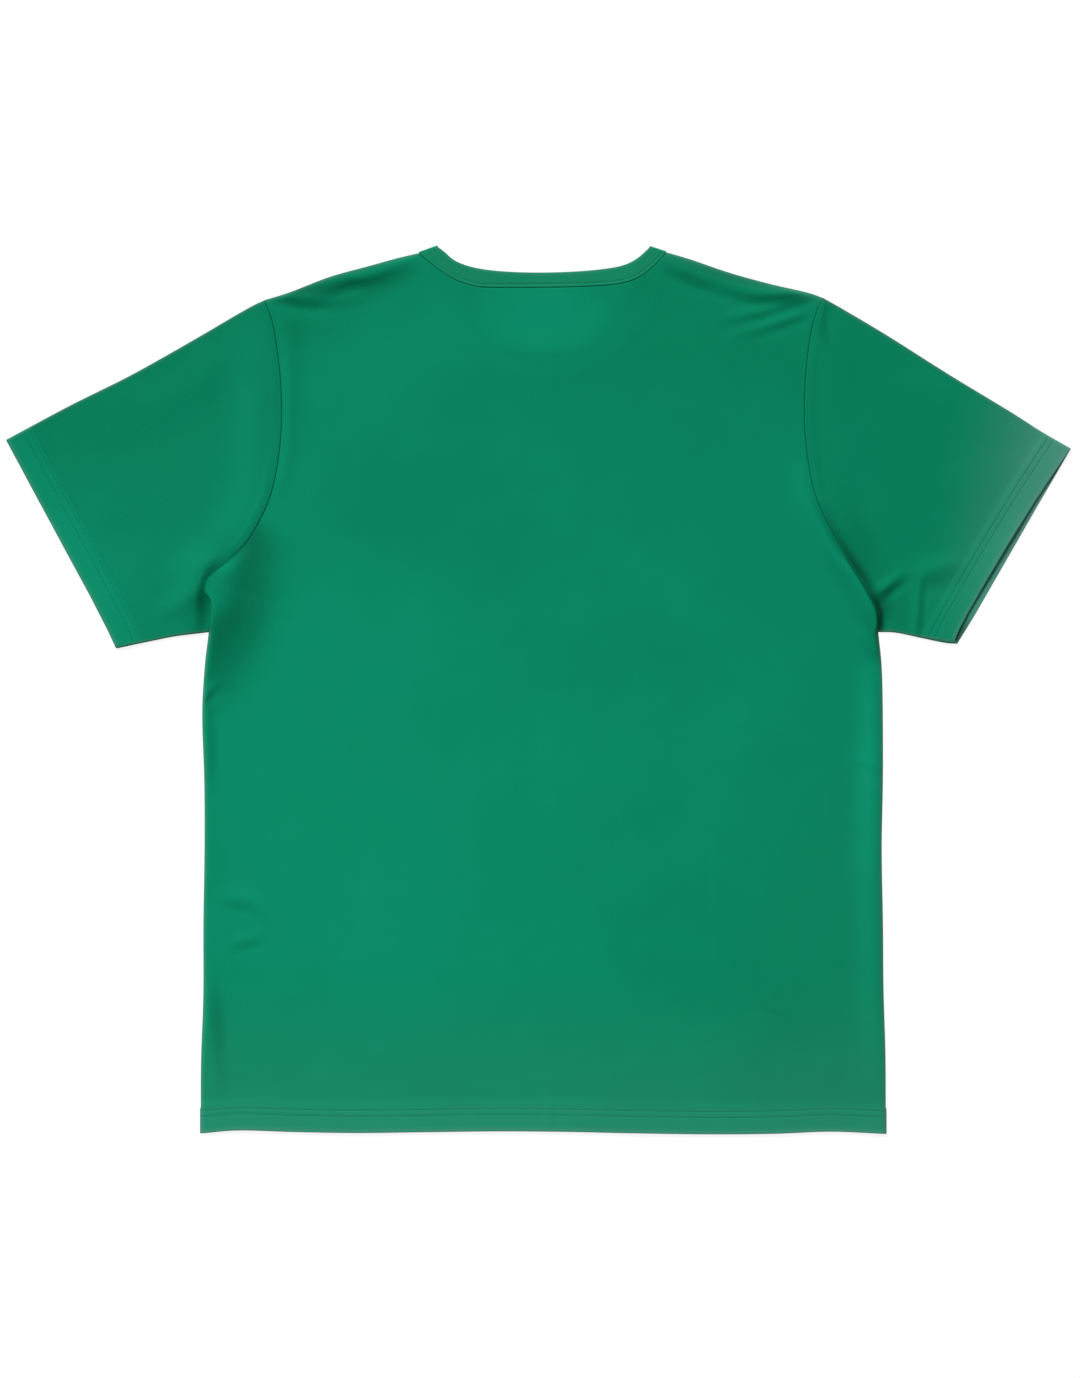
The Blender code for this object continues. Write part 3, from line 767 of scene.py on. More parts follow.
def body_tone(places, up):
    """The body's cloth looks paler where the hem doubles it, and greyer low down and at the lower right. Its
    tone also carries painted light and shade, and its haze a painted highlight along its folded edges.
    """
    x, y = places[..., 0], places[..., 1]
    hem = 1.0 - smooth((up - HEM_DEPTH) / DOUBLE_EDGE)
    deep, above, width = HEM_SHADE
    tone = HEM_TONE * hem - deep * bump(up - HEM_DEPTH - above, width) + relief(BODY_PAINTED_SHADING, places)
    grey, top, height = LOW_HAZE
    haze = grey * smooth((top - y) / height)
    grey, left, width, top, height = RIGHT_HAZE
    haze += grey * smooth((x - left) / width) * smooth((top - y) / height)
    # greyer hem, with a painted highlight on its folded edge
    haze += HEM_HAZE * hem + HEM_RIM_HIGHLIGHT[0] * np.clip(1.0 - up / HEM_RIM_HIGHLIGHT[1], 0.0, 1.0) ** 2
    # painted highlight along the sides and shoulders
    haze += RIM_HIGHLIGHT * (1.0 - smooth(to_nearest(side_lines + shoulder_lines, places) / RIM_WIDTH))
    grey, width = SHOULDER_HAZE
    haze += grey * (1.0 - smooth(to_nearest(shoulder_lines[1:], places) / width))
    return tone, haze


def underarm_share(part):
    """1 along the lap at an underarm and 0 along the rest of the armhole, by the part of the way up it."""
    return 1.0 - smooth((part - LAP_END[0]) / LAP_END[1])


def under_lap(armhole, outward):
    """The armhole line, drawn in under the back panel at the underarm."""
    part = reached(armhole)
    return beside(armhole, -outward * LAP * underarm_share(part) * smooth(part / LAP_START))


lapped_lines = (under_lap(armhole_lines[0], 1), under_lap(armhole_lines[1], -1))
front_places = panel_places(beside(front_neck_seam, -SEAM_GAP / 2), lapped_lines, columns=100, rows=110)
front_up = nearest(hem_line, front_places)[0]
front_edge = to_nearest(side_lines + shoulder_lines, front_places)
front_seams = to_nearest(lapped_lines + (front_neck_seam,), front_places)
front_heights = np.maximum(relief(FRONT_CREASES, front_places), 0.0) * smooth(front_edge / CREASE_EDGE)
front_heights += hem_form(front_up)[1] + rolled(front_edge, SIDE_ROLL) + rolled(front_seams, SEAM_ROLL)
places, heights, tone, haze = with_turned_hem(
    front_places, front_heights, *body_tone(front_places, front_up), -1
)
body_jersey = jersey("body_polyester_jersey", "007554", "038562")
front_panel = cloth("front_panel_jersey", places, heights, places, tone, haze, body_jersey, facing_down=True)
body_thread = thread("body_polyester_thread", THREAD_DULL)
front_hem_seams = needle_rows(front_places, front_heights, front_up[:, front_up.shape[1] // 2], -1)
front_hem_stitches = stitches("front_hem_stitches", front_hem_seams, body_thread)
for piece in (front_panel, front_hem_stitches):
    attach(piece, "root")
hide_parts("front_panel")


# ---------------------------------------------------------------------------------------------------------
# Back panel. The same jersey, cut with the shallow neck. It lies on top, sinks to the table inside the
# front's neck, laps over both sleeves at the underarms, and is drawn into folds at the shoulders.

BACK_NECK_SEAM = (
    NECK_LEFT,
    (-84.3, 346.9),
    (-69.6, 337.4),
    (-55.3, 332.2),
    (-40.6, 330.5),
    (3.7, 330.4),
    (47.1, 331.7),
    (69.3, 334.1),
    (84.0, 339.6),
    (95.5, 348.9),
    NECK_RIGHT,
)
BAND_REACH = 16.0  # the hidden front band lifts the back this far outside the front neck's edge
BAND_LIFT = 0.25
BAND_EASE = 10.0
NECK_SAG_RUN = 26.0  # the back has sunk this far inside that edge
NECK_SAG_TOP = 1.7
LOWEST_BACK = 1.5  # the upper layer can come no lower than this where the lower one lies under it
LAP_NOSE = (1.0, 2.4)  # where the back laps over a sleeve its edge rolls down over this width
LAP_FOOT = 2.3  # to this height
HEM_LIFT = 1.0  # the two hems stand this much higher than plain cloth
BACK_FOLDS = (
    # drag folds that run in from the right shoulder point, from the shoulder seam down
    Crease(
        ((90, 352), (108.6, 343.2), (130, 334.1), (152, 327), (176, 320.5), (200, 319.6), (229, 323)),
        (0, 1.5, 2.0, 2.2, 4.0, 4.4, 0), 11, 8, 0.35,
    ),
    Crease(
        ((138, 297), (151.3, 300.5), (178.3, 307.1), (206.2, 313.6), (226, 318.5)),
        (0, 0.9, 2.1, 2.3, 0), 7, 6, 0.4,
    ),
    Crease(
        ((156, 286), (168.5, 289.9), (186.5, 295.6), (207.9, 303), (227, 311)),
        (0, 0.8, 1.6, 1.8, 0), 7, 7, 0.4,
    ),
    # folds under the left shoulder seam
    Crease(
        ((-190, 320), (-171, 326.8), (-155.4, 331.7), (-137.3, 335), (-118.5, 341.5), (-96, 350)),
        (0, 2.2, 4.2, 3.4, 1.8, 0), 11, 9, 0.35,
    ),
    Crease(
        ((-218, 321), (-208.7, 319.4), (-186.5, 316.1), (-170.1, 316.9), (-148, 320)),
        (0, 2.6, 3.0, 1.4, 0), 9, 8, 0.4,
    ),
    # the cloth stands up along the left side seam, laps over the sleeve and slopes away from it
    Ridge(
        (
            (-275, -20), (-274.5, 8), (-272.5, 30), (-270, 48), (-267.5, 62), (-270.5, 78), (-267, 93),
            (-254, 105), (-243, 116), (-232, 130), (-217, 166),
        ),
        (0, 3.6, 7.0, 8.8, 9.2, 8.2, 5.4, 2.0, 0.6, 0, 0), 6, 44,
    ),
    Crease(((-284, -16), (-275.1, -10.2), (-265.3, 0.4), (-256, 8)), (0, 1.4, 1.0, 0), 6, 6, 0.4),
    # the cloth that laps over the right sleeve
    Ridge(
        ((277, 24), (276, 44), (275.5, 62), (264.5, 85), (253, 103), (241.5, 121), (226, 155), (219, 190)),
        (0, 5.0, 6.6, 6.6, 5.8, 4.6, 2.4, 0), 26, 5,
    ),
    Crease(((259, 46), (265.3, 41.4), (274, 28), (282, 8)), (0, 1.0, 0.9, 0), 6, 7, 0.4),
    Crease(((258, -57), (267.7, -61.1), (276, -66), (284, -71)), (0, 0.6, 0.5, 0), 6, 7, 0.4),
    # the soft roll inside the right side seam
    Crease(
        ((262, 24), (262, -60), (261, -130), (262, -200), (266, -276)),
        (0, 1.1, 1.5, 1.2, 0), 16, 18, 0.3,
    ),
    # inside the left armhole
    Crease(
        ((-214, 150), (-203, 181), (-199, 240), (-201, 286), (-210, 318)),
        (0, 1.2, 1.7, 1.3, 0), 13, 22, 0.3,
    ),
    # pucker on the left side seam
    Crease(
        ((-268, -172), (-256.6, -175.1), (-238.2, -178.3), (-228.4, -186.5), (-220.2, -192.3), (-212, -198)),
        (0, 1.0, 1.5, 1.0, 0.4, 0), 13, 8, 0.4,
    ),
    Crease(((-256, -211), (-244.8, -209.5), (-231.6, -206), (-222, -200)), (0, 0.9, 0.8, 0), 9, 8, 0.5),
    Crease(((-262, -306), (-266, -286), (-266, -246), (-262, -224)), (0, 1.2, 1.1, 0), 9, 10, 0.4),
    # faint creases from its folding
    Crease(((164, -249), (173.4, -253.8), (214.4, -271.8), (222, -276)), (0, 0.45, 0.4, 0), 5, 5, 0.6),
    Crease(((142.3, -108), (142.3, -150), (142.3, -190), (142.3, -232)), (0, 0.25, 0.25, 0), 5, 5, 0.6),
    Crease(((11.9, -366), (11.9, -348), (12.5, -332), (12, -318)), (0, 0.45, 0.25, 0), 5, 5, 0.6),
    # low swells of the middle
    Swell(-60.0, 150.0, 260.0, 120.0, 20.0, 1.4),
    Swell(110.0, 60.0, 220.0, 130.0, -30.0, 1.2),
    Swell(-90.0, -130.0, 240.0, 120.0, 10.0, 1.5),
    Swell(120.0, -230.0, 200.0, 110.0, -15.0, 1.2),
)

BACK_RIPPLES = ((60.0, 0.35, 3.0), (22.0, 0.10, 7.0))  # the size, the height and the seed of each
HEM_PUCKERS = (7.0, 0.12, 11.0)  # the same for the puckers along the hem's stitches
PUCKER_STRETCH = (1.0, 0.3)  # they are longer upwards than across
PUCKER_BAND = (15.0, 16.0)  # above the hem's edge, and how wide
SEAM_HOLD = (9.0, 0.75)  # beside an armhole seam, over this width, the folds lose this part
EDGE_HOLD = 3.5  # they end over this width beside the sides and shoulders
NECK_SHOWS = 88.0  # width over which the front's neck shows through
NECK_PAINTED_LIGHT = (0.48, 4.0, 22.0)  # painted light inside it, where only the white table lies under the back: how much paler, from this distance, over this run
NECK_EDGE_SHADE = (0.28, 1.0, 7.0)  # painted shade along its free edge: depth, distance and width
BAND_EDGE_SHADE = (0.06, -18.0, 7.0)  # painted shade along the other edge of its hidden band: the same

back_neck_seam = curve_through(BACK_NECK_SEAM)


def back_bed(places):
    """Outer side of plain cloth laid on the front: over the hidden neck band, and sunk inside the neck."""
    inside = nearest(front_neck_edge, places)[0]
    on_band = smooth((inside + BAND_REACH + BAND_EASE) / BAND_EASE)
    sunk = smooth(inside / NECK_SAG_RUN)
    return (FLAT_HEIGHT + BAND_LIFT * on_band) * (1.0 - sunk) + NECK_SAG_TOP * sunk, sunk


def rippled(heights, places, ripples):
    """The heights with each ripple added."""
    for size, height, seed in ripples:
        heights = heights + ripple(places, size, height, seed)
    return heights


def back_height(places):
    """Outer side of the back panel, without the roll of its edges."""
    up = nearest(hem_line, places)[0]
    thick, sewn = hem_form(up)
    at_edge = to_nearest(side_lines + shoulder_lines, places)
    left, right = (nearest(line, places) for line in armhole_lines)
    at_armhole = np.minimum(np.abs(left[0]), np.abs(right[0]))
    part = np.where(np.abs(left[0]) < np.abs(right[0]), left[1], right[1])
    width, lost = SEAM_HOLD
    held = 1.0 - (1.0 - smooth(at_armhole / width)) * (1.0 - underarm_share(part)) * lost
    held = held * smooth(at_edge / EDGE_HOLD)
    folds = rippled(relief(BACK_FOLDS, places), places, BACK_RIPPLES)
    above, width = PUCKER_BAND
    puckered = ripple(places * PUCKER_STRETCH, *HEM_PUCKERS) * bump(up - above, width)
    free = back_bed(places)[0] + HEM_LIFT * thick + held * folds + puckered
    nose = rolled(at_armhole, LAP_NOSE) * underarm_share(part)
    free = free * (1.0 - nose) + LAP_FOOT * nose
    return np.maximum(free, LOWEST_BACK) - sewn


back_places = panel_places(beside(back_neck_seam, -SEAM_GAP / 2), armhole_lines, columns=160, rows=190)
back_up = nearest(hem_line, back_places)[0]
back_side = to_nearest(side_lines + shoulder_lines, back_places)
back_seams = to_nearest(armhole_lines + (back_neck_seam,), back_places)
back_heights = back_height(back_places) - rolled(back_side, SIDE_ROLL) - rolled(back_seams, SEAM_ROLL)
back_tone, back_haze = body_tone(back_places, back_up)
# painted light inside the front's neck, and painted shade along its hidden band's edges
in_neck = nearest(front_neck_edge, back_places)[0]
shown = bump(back_places[..., 0] - FRONT_NECK_MIDDLE, NECK_SHOWS)
pale, start, over = NECK_PAINTED_LIGHT
back_tone += shown * (
    pale * smooth((in_neck - start) / over) - NECK_EDGE_SHADE[0] * bump(in_neck - NECK_EDGE_SHADE[1], NECK_EDGE_SHADE[2])
)
back_tone -= BAND_EDGE_SHADE[0] * shown * bump(in_neck - BAND_EDGE_SHADE[1], BAND_EDGE_SHADE[2])
lit_side = np.abs(nearest(side_lines[0], back_places)[0]) < SIDE_ROLL[1]
back_tone -= EDGE_SHADE * (1.0 - smooth(back_side / SIDE_ROLL[1])) * (1.0 - lit_side)
places, heights, tone, haze = with_turned_hem(back_places, back_heights, back_tone, back_haze, 1)
back_panel = cloth("back_panel_jersey", places, heights, places, tone, haze, body_jersey)
back_hem_seams = needle_rows(back_places, back_heights, back_up[:, back_up.shape[1] // 2], 1)
back_hem_stitches = stitches("back_hem_stitches", back_hem_seams, body_thread)
for piece in (back_panel, back_hem_stitches):
    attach(piece, "root")
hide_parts("back_panel")


# ---------------------------------------------------------------------------------------------------------
# Sleeves. Each is one piece of the same jersey, closed by a seam under the arm, with its cuff folded in and
# sewn with two needles. They lie flat as tubes. The right cuff gapes a little.

CUFF_LEFT = ((-435.8, 206.0), (-345.6, 34.5))  # top corner, underarm corner
CUFF_RIGHT = ((435.8, 198.8), (342.3, 38.5))
TOP_FOLD_LEFT = ((-240.0, 312.6), (-286.0, 285.7), (-335.0, 258.2), (-384.0, 233.8), CUFF_LEFT[0])
TOP_FOLD_RIGHT = (
    (252.0, 311.4), (288.0, 289.9), (337.0, 258.9), (387.0, 228.6), (412.0, 212.6), CUFF_RIGHT[0],
)
UNDERARM_SEAM_LEFT = ((-297.2, 44.6), (-316.9, 40.7), CUFF_LEFT[1])
UNDERARM_SEAM_RIGHT = ((293.1, 47.5), (312.8, 43.4), (332.5, 39.3), CUFF_RIGHT[1])
CUFF_DEPTH = 21.0
CUFF_LIFT = 0.5  # on each side of the tube
CUFF_NEEDLES = (15.0, 20.0)
CUFF_TONE = 0.5  # how much paler the cuffs look
CUFF_DRAWN = 60.0  # the bend of a cuff's edge has faded this far from it
INNER_EDGE = (0.4, 0.3)  # tone and haze of the lower layer's edge, which the table lights
INNER_CORNER_SHADE = (3.9, 0.82, 0.13)  # painted shade on that edge in the gape at the underarm: how much darker, and over which part of the cuff


class CuffRow(NamedTuple):
    """How far the edges of a cuff's two layers lie inside its straight line, at a part of the way from its
    top fold to the underarm."""

    part: float
    upper: float
    lower: float


LEFT_CUFF_EDGES = (
    CuffRow(0.0, 0.0, 0.0),
    CuffRow(0.25, 0.4, 0.4),
    CuffRow(0.5, 0.9, 0.9),
    CuffRow(0.75, 1.5, 1.5),
    CuffRow(0.92, 1.1, 1.1),
    CuffRow(1.0, 0.3, 0.3),
)
RIGHT_CUFF_EDGES = (
    CuffRow(0.0, 0.0, 0.0),
    CuffRow(0.08, 1.4, 0.0),
    CuffRow(0.2, 2.9, 0.0),
    CuffRow(0.3, 3.9, 0.0),
    CuffRow(0.5, 5.1, -0.3),
    CuffRow(0.7, 5.3, -0.5),
    CuffRow(0.85, 5.1, -0.7),
    CuffRow(0.93, 4.6, -0.4),
    CuffRow(1.0, 3.0, 0.0),
)
ALLOWANCE = 7.5  # width of the seam allowance that shows through beside the armhole seam
ALLOWANCE_RISE = 0.7
ALLOWANCE_EDGE = 1.6  # width over which it ends
ALLOWANCE_START = (0.1, 0.3)  # it starts at this part of the armhole, and is whole after this part more
LOWEST_SLEEVE = -1.2  # beside the lap at the underarm, against a plain pressed tube
LAP_VALLEY = (3.5, 10.0)  # it stays as low up to the first distance, and rises over the second
SLEEVE_RIPPLES = ((50.0, 0.5, 5.0), (20.0, 0.12, 9.0))
SLEEVE_WIDTH = 165.0
ACROSS_STEPS = 85
ALONG_STEPS = 65
NOSE_STEPS = 8
CUFF_STEPS = (27.0, 25.4, 24.0, 22.8, 22.0, 21.4, 20.8, 20.4, 20.0, 19.6, 18.8, 17.4, 16.2, 15.5, 15.0, 14.5)
CUFF_STEPS += (13.6, 12.0, 9.0, 6.0, 3.0, 1.2)  # rows from the plain sleeve to the cuff's edge
CUFF_MARGIN = 1.0
NEVER_ZERO = 1e-9
SLEEVE_PAINTED_SHADING = (
    # Light and shade painted into the sleeves' tone: above 0 painted light, below 0 painted shade.
    Swell(-256.0, 126.0, 110.0, 46.0, 55.0, 0.55),
    Swell(-238.0, 230.0, 190.0, 34.0, 88.0, 0.5),
    Swell(-320.0, 110.0, 160.0, 100.0, 60.0, 0.35),
    Swell(-375.0, 105.0, 190.0, 90.0, -62.0, 0.45),
    Swell(262.0, 130.0, 90.0, 24.0, -60.0, -0.5),
    # painted shade deep in the folds at the underarms
    Ridge(
        ((-272, 46), (-273, 60), (-274.5, 76), (-274, 88), (-270, 98)),
        (-0.2, -0.3, -0.95, -0.25, 0), 20, 12,
    ),
    Ridge(((-269.4, 93.9), (-249.7, 111.1), (-235.8, 126.7), (-219.3, 161.1)), (-0.2, -1.4, -0.9, 0), 4, 4),
    Ridge(((280.2, 44), (280.4, 56), (279.4, 66), (274, 77), (268.4, 88)), (-1.2, -2.9, -2.5, -1.1, 0), 4, 6),
    Ridge(((280, 64), (268.4, 88), (245.4, 124), (230.5, 158)), (0, -2.1, -1.4, 0), 4, 10),
    Ridge(((286, 54), (285, 66), (281, 75), (276, 84)), (0, -0.7, -1.1, -0.9, 0), 8, 14),
    # painted shade along the seam allowance that shows through at the right shoulder
    Ridge(((235.5, 322), (235, 312), (234, 303), (237, 288), (241, 272)), (-0.5, -0.7, -0.6, -0.3, 0), 4, 4),
    Ridge(((229.5, 309), (231, 297), (234, 287), (236, 276)), (0, -0.4, -0.4, 0), 4, 5),
    # painted shade in the crease that fans out from the right underarm
    Ridge(((279, 74), (286, 81), (294, 87), (304, 94)), (0, -0.5, -0.3, 0), 8, 8),
)
LEFT_SLEEVE_FOLDS = (
    Swell(-258.0, 126.0, 70.0, 34.0, 55.0, 1.6),
    Swell(-236.0, 220.0, 150.0, 34.0, 88.0, 1.2),
    # the hollow beside the body's lap
    Ridge(((-278, 40), (-281, 56), (-281, 76), (-275, 97), (-260, 114)), (0, 2.6, 5.4, 4.0, 0), 36, 12),
    Crease(((-268, 98), (-282, 88), (-302, 74), (-322, 60)), (0, 0.8, 0.7, 0), 14, 14, 0.5),
    Crease(((-250, 300), (-290, 262), (-340, 236)), (0, 0.7, 0.6, 0), 30, 34, 0.5),
    Swell(-350.0, 150.0, 120.0, 60.0, 60.0, 1.0),
)
RIGHT_SLEEVE_FOLDS = (
    # creases that fan out from the underarm
    Crease(((276, 71), (283, 78.5), (293.1, 87.1), (306, 96)), (0, 2.3, 1.6, 0), 8, 7, 0.4),
    Ridge(((235.5, 324), (235, 312), (234, 303), (237, 288), (241, 272)), (0, -0.35, -0.35, -0.2, 0), 3, 3),
    Crease(((311.5, 38), (313, 56), (315, 84), (318, 100)), (0, 1.4, 1.2, 0), 7, 6, 0.4),
    Crease(((306, 84), (316.1, 88.1), (342.3, 95.5), (354, 98)), (0, 1.9, 1.5, 0), 17, 16, 0.4),
    # the valley along the body's lap
    Ridge(((236, 172), (256, 134), (281, 98), (293, 72), (294, 44)), (0, 1.4, 1.8, 1.4, 0), 16, 14),
    Swell(246.0, 230.0, 150.0, 30.0, 92.0, 1.0),
    Crease(((290, 250), (330, 220), (372, 196)), (0, 0.7, 0.6, 0), 30, 32, 0.5),
    Swell(386.0, 116.0, 80.0, 26.0, 60.0, 1.6),
)


def sleeve_height(places, folds, armhole):
    """How far a sleeve's upper side stands above a plain pressed tube."""
    off, part = nearest(armhole, places)
    off = np.abs(off)
    allowance = ALLOWANCE_RISE * (1.0 - smooth((off - ALLOWANCE + ALLOWANCE_EDGE / 2) / ALLOWANCE_EDGE))
    allowance *= smooth((part - ALLOWANCE_START[0]) / ALLOWANCE_START[1])
    share = underarm_share(part)
    sunk = -LOWEST_SLEEVE * share * (1.0 - smooth((off - LAP_VALLEY[0]) / LAP_VALLEY[1]))
    folded = rippled(relief(folds, places), places, SLEEVE_RIPPLES)
    held = 1.0 - (1.0 - smooth(off / SEAM_HOLD[0])) * (1.0 - share)
    return np.maximum(allowance - sunk + folded * held, LOWEST_SLEEVE)


# The points round a pressed tube, over its upper layer from the top fold to the underarm and back under its
# lower one: the part of the way across it, and the tilt of the cloth there, 90 degrees where it faces up
edge_parts = np.array((0.0,) + EDGE_STEPS[2:]) / SLEEVE_WIDTH
across_parts = np.concatenate([
    edge_parts,
    np.linspace(edge_parts[-1], 1.0 - edge_parts[-1], ACROSS_STEPS + 1)[1:-1],
    1.0 - edge_parts[::-1],
])
nose_tilts = 90.0 - 180.0 * np.arange(1, NOSE_STEPS) / NOSE_STEPS
ring_parts = np.concatenate([
    across_parts, np.ones(len(nose_tilts)), across_parts[::-1], np.zeros(len(nose_tilts)), across_parts[:1],
])
ring_tilts = np.concatenate([
    np.full(len(across_parts), 90.0), nose_tilts, np.full(len(across_parts), -90.0), -nose_tilts, [90.0],
])
ring_up, ring_out = np.sin(np.radians(ring_tilts)), np.cos(np.radians(ring_tilts))


def sleeve_rows(length):
    """The rows of a sleeve, from the armhole over the cuff's edge to the end of its turned-in part: how far
    each is from the edge, how deep inside the outer side, and how many of them come before the cuff."""
    turn = np.linspace(0.0, math.pi, FOLD_STEPS + 1)[1:]
    turned_in = np.array(TURNED_STEPS) * CUFF_DEPTH / HEM_DEPTH
    plain = length - np.concatenate([
        (0.0,) + EDGE_STEPS, np.linspace(EDGE_STEPS[-1], length - CUFF_STEPS[0], ALONG_STEPS + 1)[1:]
    ])
    from_cuff = np.concatenate([plain, CUFF_STEPS[1:], [0.0], -FOLD_RADIUS * np.sin(turn), turned_in])
    outside = np.zeros(len(plain) + len(CUFF_STEPS))
    inside = np.full(len(turned_in), 2 * FOLD_RADIUS)
    return from_cuff, np.concatenate([outside, FOLD_RADIUS * (1 - np.cos(turn)), inside]), len(plain)


def across_sleeve(seam, cuff, back_way, top_fold, underarm_seam, from_cuff, plain_rows):
    """Places across a sleeve from its top fold to its underarm, for each of its rows, seen from above."""
    top = curve_through((tuple(seam[-1]),) + top_fold)
    under = curve_through((tuple(seam[0]),) + underarm_seam)
    plain, sewn = from_cuff[:plain_rows], from_cuff[plain_rows:]

    def at_depth(fold, depths):
        """The points of a fold that lie at the depths inside the cuff. It goes on straight past its end."""
        fold = np.vstack([fold, 2 * fold[-1] - fold[-2]])[::-1]
        return read_off(depths, (fold - cuff[0]) @ back_way, fold)

    def plain_part(fold):
        """The fold from the armhole seam to the first row of the cuff."""
        kept = fold[(fold - cuff[0]) @ back_way > CUFF_STEPS[0] + CUFF_MARGIN]
        return np.vstack([kept, at_depth(fold, CUFF_STEPS[:1])])

    down = (plain[0] - plain) / (plain[0] - CUFF_STEPS[0])  # 0 at the armhole and 1 at the cuff
    first_row = np.vstack([at_depth(fold, CUFF_STEPS[:1]) for fold in (top, under)])
    plain_places = between(
        points_on(plain_part(top), down), points_on(plain_part(under), down),
        points_on(seam, 1.0 - across_parts), points_on(first_row, across_parts), down, across_parts,
    )
    part = across_parts[:, None, None]
    cuff_places = at_depth(top, sewn)[None] * (1 - part) + at_depth(under, sewn)[None] * part
    return np.concatenate([plain_places, cuff_places], axis=1)


def sleeve_tone(places, from_cuff, inward, width):
    """A sleeve looks paler where the cuff doubles it, and its cuff's lower edge is lit by the table. Its tone
    also carries painted light and shade, with painted shade along its folded edges and in the gape at the
    underarm, and its haze a painted highlight along its folded edges.
    """
    cuff = 1.0 - smooth((from_cuff - CUFF_DEPTH) / DOUBLE_EDGE)
    tone = CUFF_TONE * cuff[:, None] + relief(SLEEVE_PAINTED_SHADING, places)
    inner_edge = (inward > 0)[:, None] * (ring_tilts < 0)
    # painted shade on the lower layer's edge in the gape at the underarm
    darker, start, over = INNER_CORNER_SHADE
    corner = smooth((ring_parts - start) / over)
    tone += (INNER_EDGE[0] - darker * corner) * inner_edge
    at_fold = np.minimum(ring_parts, 1.0 - ring_parts)[None] * width[:, None]
    tone -= EDGE_SHADE * (1.0 - smooth(at_fold / SIDE_ROLL[1]))
    haze = RIM_HIGHLIGHT * (1.0 - smooth(np.minimum(at_fold, np.abs(from_cuff)[:, None]) / RIM_WIDTH))
    return tone, haze + INNER_EDGE[1] * (1.0 - corner) * inner_edge


def turned(places, angle):
    """The places turned about the origin, so that the knit's ribs run down a sleeve."""
    cos, sin = math.cos(angle), math.sin(angle)
    x, y = places[..., 0], places[..., 1]
    return np.stack([y * cos - x * sin, x * cos + y * sin], axis=-1)


CORNER_HAZE = (0.80, 0.74)  # how grey the right cuff is at its top corner, and how much less at the underarm
CORNER_REACH = (112.0, 70.0)  # how far inside the cuff that reaches, and how much less at the underarm


def right_sleeve_haze(places):
    """The right sleeve goes grey towards its cuff, most at the top corner."""
    run = np.subtract(CUFF_RIGHT[1], CUFF_RIGHT[0])
    reach = math.hypot(*run)
    off = places - CUFF_RIGHT[0]
    down = np.clip(off @ run / reach**2, 0.0, 1.0)
    inside = np.abs(off[..., 1] * run[0] - off[..., 0] * run[1]) / reach
    fade = np.clip(1.0 - inside / (CORNER_REACH[0] - CORNER_REACH[1] * down), 0.0, 1.0)
    return (CORNER_HAZE[0] - CORNER_HAZE[1] * down) * fade**2


def sleeve(name, armhole, outward, cuff, cuff_edges, top_fold, underarm_seam, folds, material):
    """A tube pressed flat: round from the top fold over the upper layer and back under the lower one."""
    seam = beside(armhole, outward * SEAM_GAP / 2)
    cuff_way = np.subtract(cuff[1], cuff[0]) / math.dist(*cuff)
    back_way = outward * np.array([-cuff_way[1], cuff_way[0]])  # from the cuff to the armhole
    from_cuff, inward, plain_rows = sleeve_rows((seam[-1] - cuff[0]) @ back_way)
    lay = across_sleeve(seam, cuff, back_way, top_fold, underarm_seam, from_cuff, plain_rows)
    width = np.linalg.norm(lay[-1] - lay[0], axis=1)
    thick = 1.0 - smooth((from_cuff - CUFF_DEPTH - HEM_LEDGE) / (HEM_EASE - HEM_LEDGE))
    half = FLAT_HEIGHT / 2 + CUFF_LIFT * thick
    inset = (half / width)[:, None]

    def across_rows(parts):
        """The points at the given parts of the way across each row."""
        rows = zip(parts, lay.swapaxes(0, 1))
        return np.array([read_off(row_parts, across_parts, row) for row_parts, row in rows])

    clipped = np.clip(ring_parts, inset, 1.0 - inset)
    centres = across_rows(clipped)
    ways = across_rows(np.broadcast_to(np.round(ring_parts), clipped.shape)) - centres
    ways /= np.maximum(np.linalg.norm(ways, axis=2), NEVER_ZERO)[..., None]
    radius = (half - inward)[:, None]
    places = centres + ways * radius[..., None] * ring_out[None, :, None]
    parts, upper, lower = zip(*cuff_edges)
    layer = np.clip(ring_tilts / 90.0, 0.0, 1.0)
    drawn = np.interp(clipped, parts, upper) * layer + np.interp(clipped, parts, lower) * (1.0 - layer)
    drawn *= smooth(1.0 - from_cuff / CUFF_DRAWN)[:, None]
    places = places + back_way * drawn[..., None]

    sewn = NEEDLE_GROOVE * sum(bump(from_cuff - line, NEEDLE_WIDTH) for line in CUFF_NEEDLES) * (inward == 0)
    heights = half[:, None] + (radius - sewn[:, None] * (np.abs(ring_tilts) == 90.0)) * ring_up[None]
    raised = (1 + ring_up[None]) / 2
    heights = heights + raised * sleeve_height(places, folds, armhole) * (ring_tilts != 0.0)
    heights -= ring_up[None] * rolled(np.abs(nearest(armhole, places)[0]), SEAM_ROLL)
    grain_turn = math.atan2(cuff[0][1] - SHOULDER_RIGHT[1], abs(cuff[0][0]) - SHOULDER_RIGHT[0])
    grain = turned(places, -outward * grain_turn)
    tone, haze = sleeve_tone(places, from_cuff, inward, width)
    if outward < 0:
        haze = haze + right_sleeve_haze(places)
    skin = cloth(name, places, heights, grain, tone, haze, material, closed=True)
    rows = [int(np.argmin(np.abs(from_cuff - line) + inward)) for line in CUFF_NEEDLES]
    layers = ((np.flatnonzero(ring_tilts == 90.0)[:-1], 1), (np.flatnonzero(ring_tilts == -90.0), -1))
    return skin, [Seam(places[row, layer], heights[row, layer], way) for row in rows for layer, way in layers]


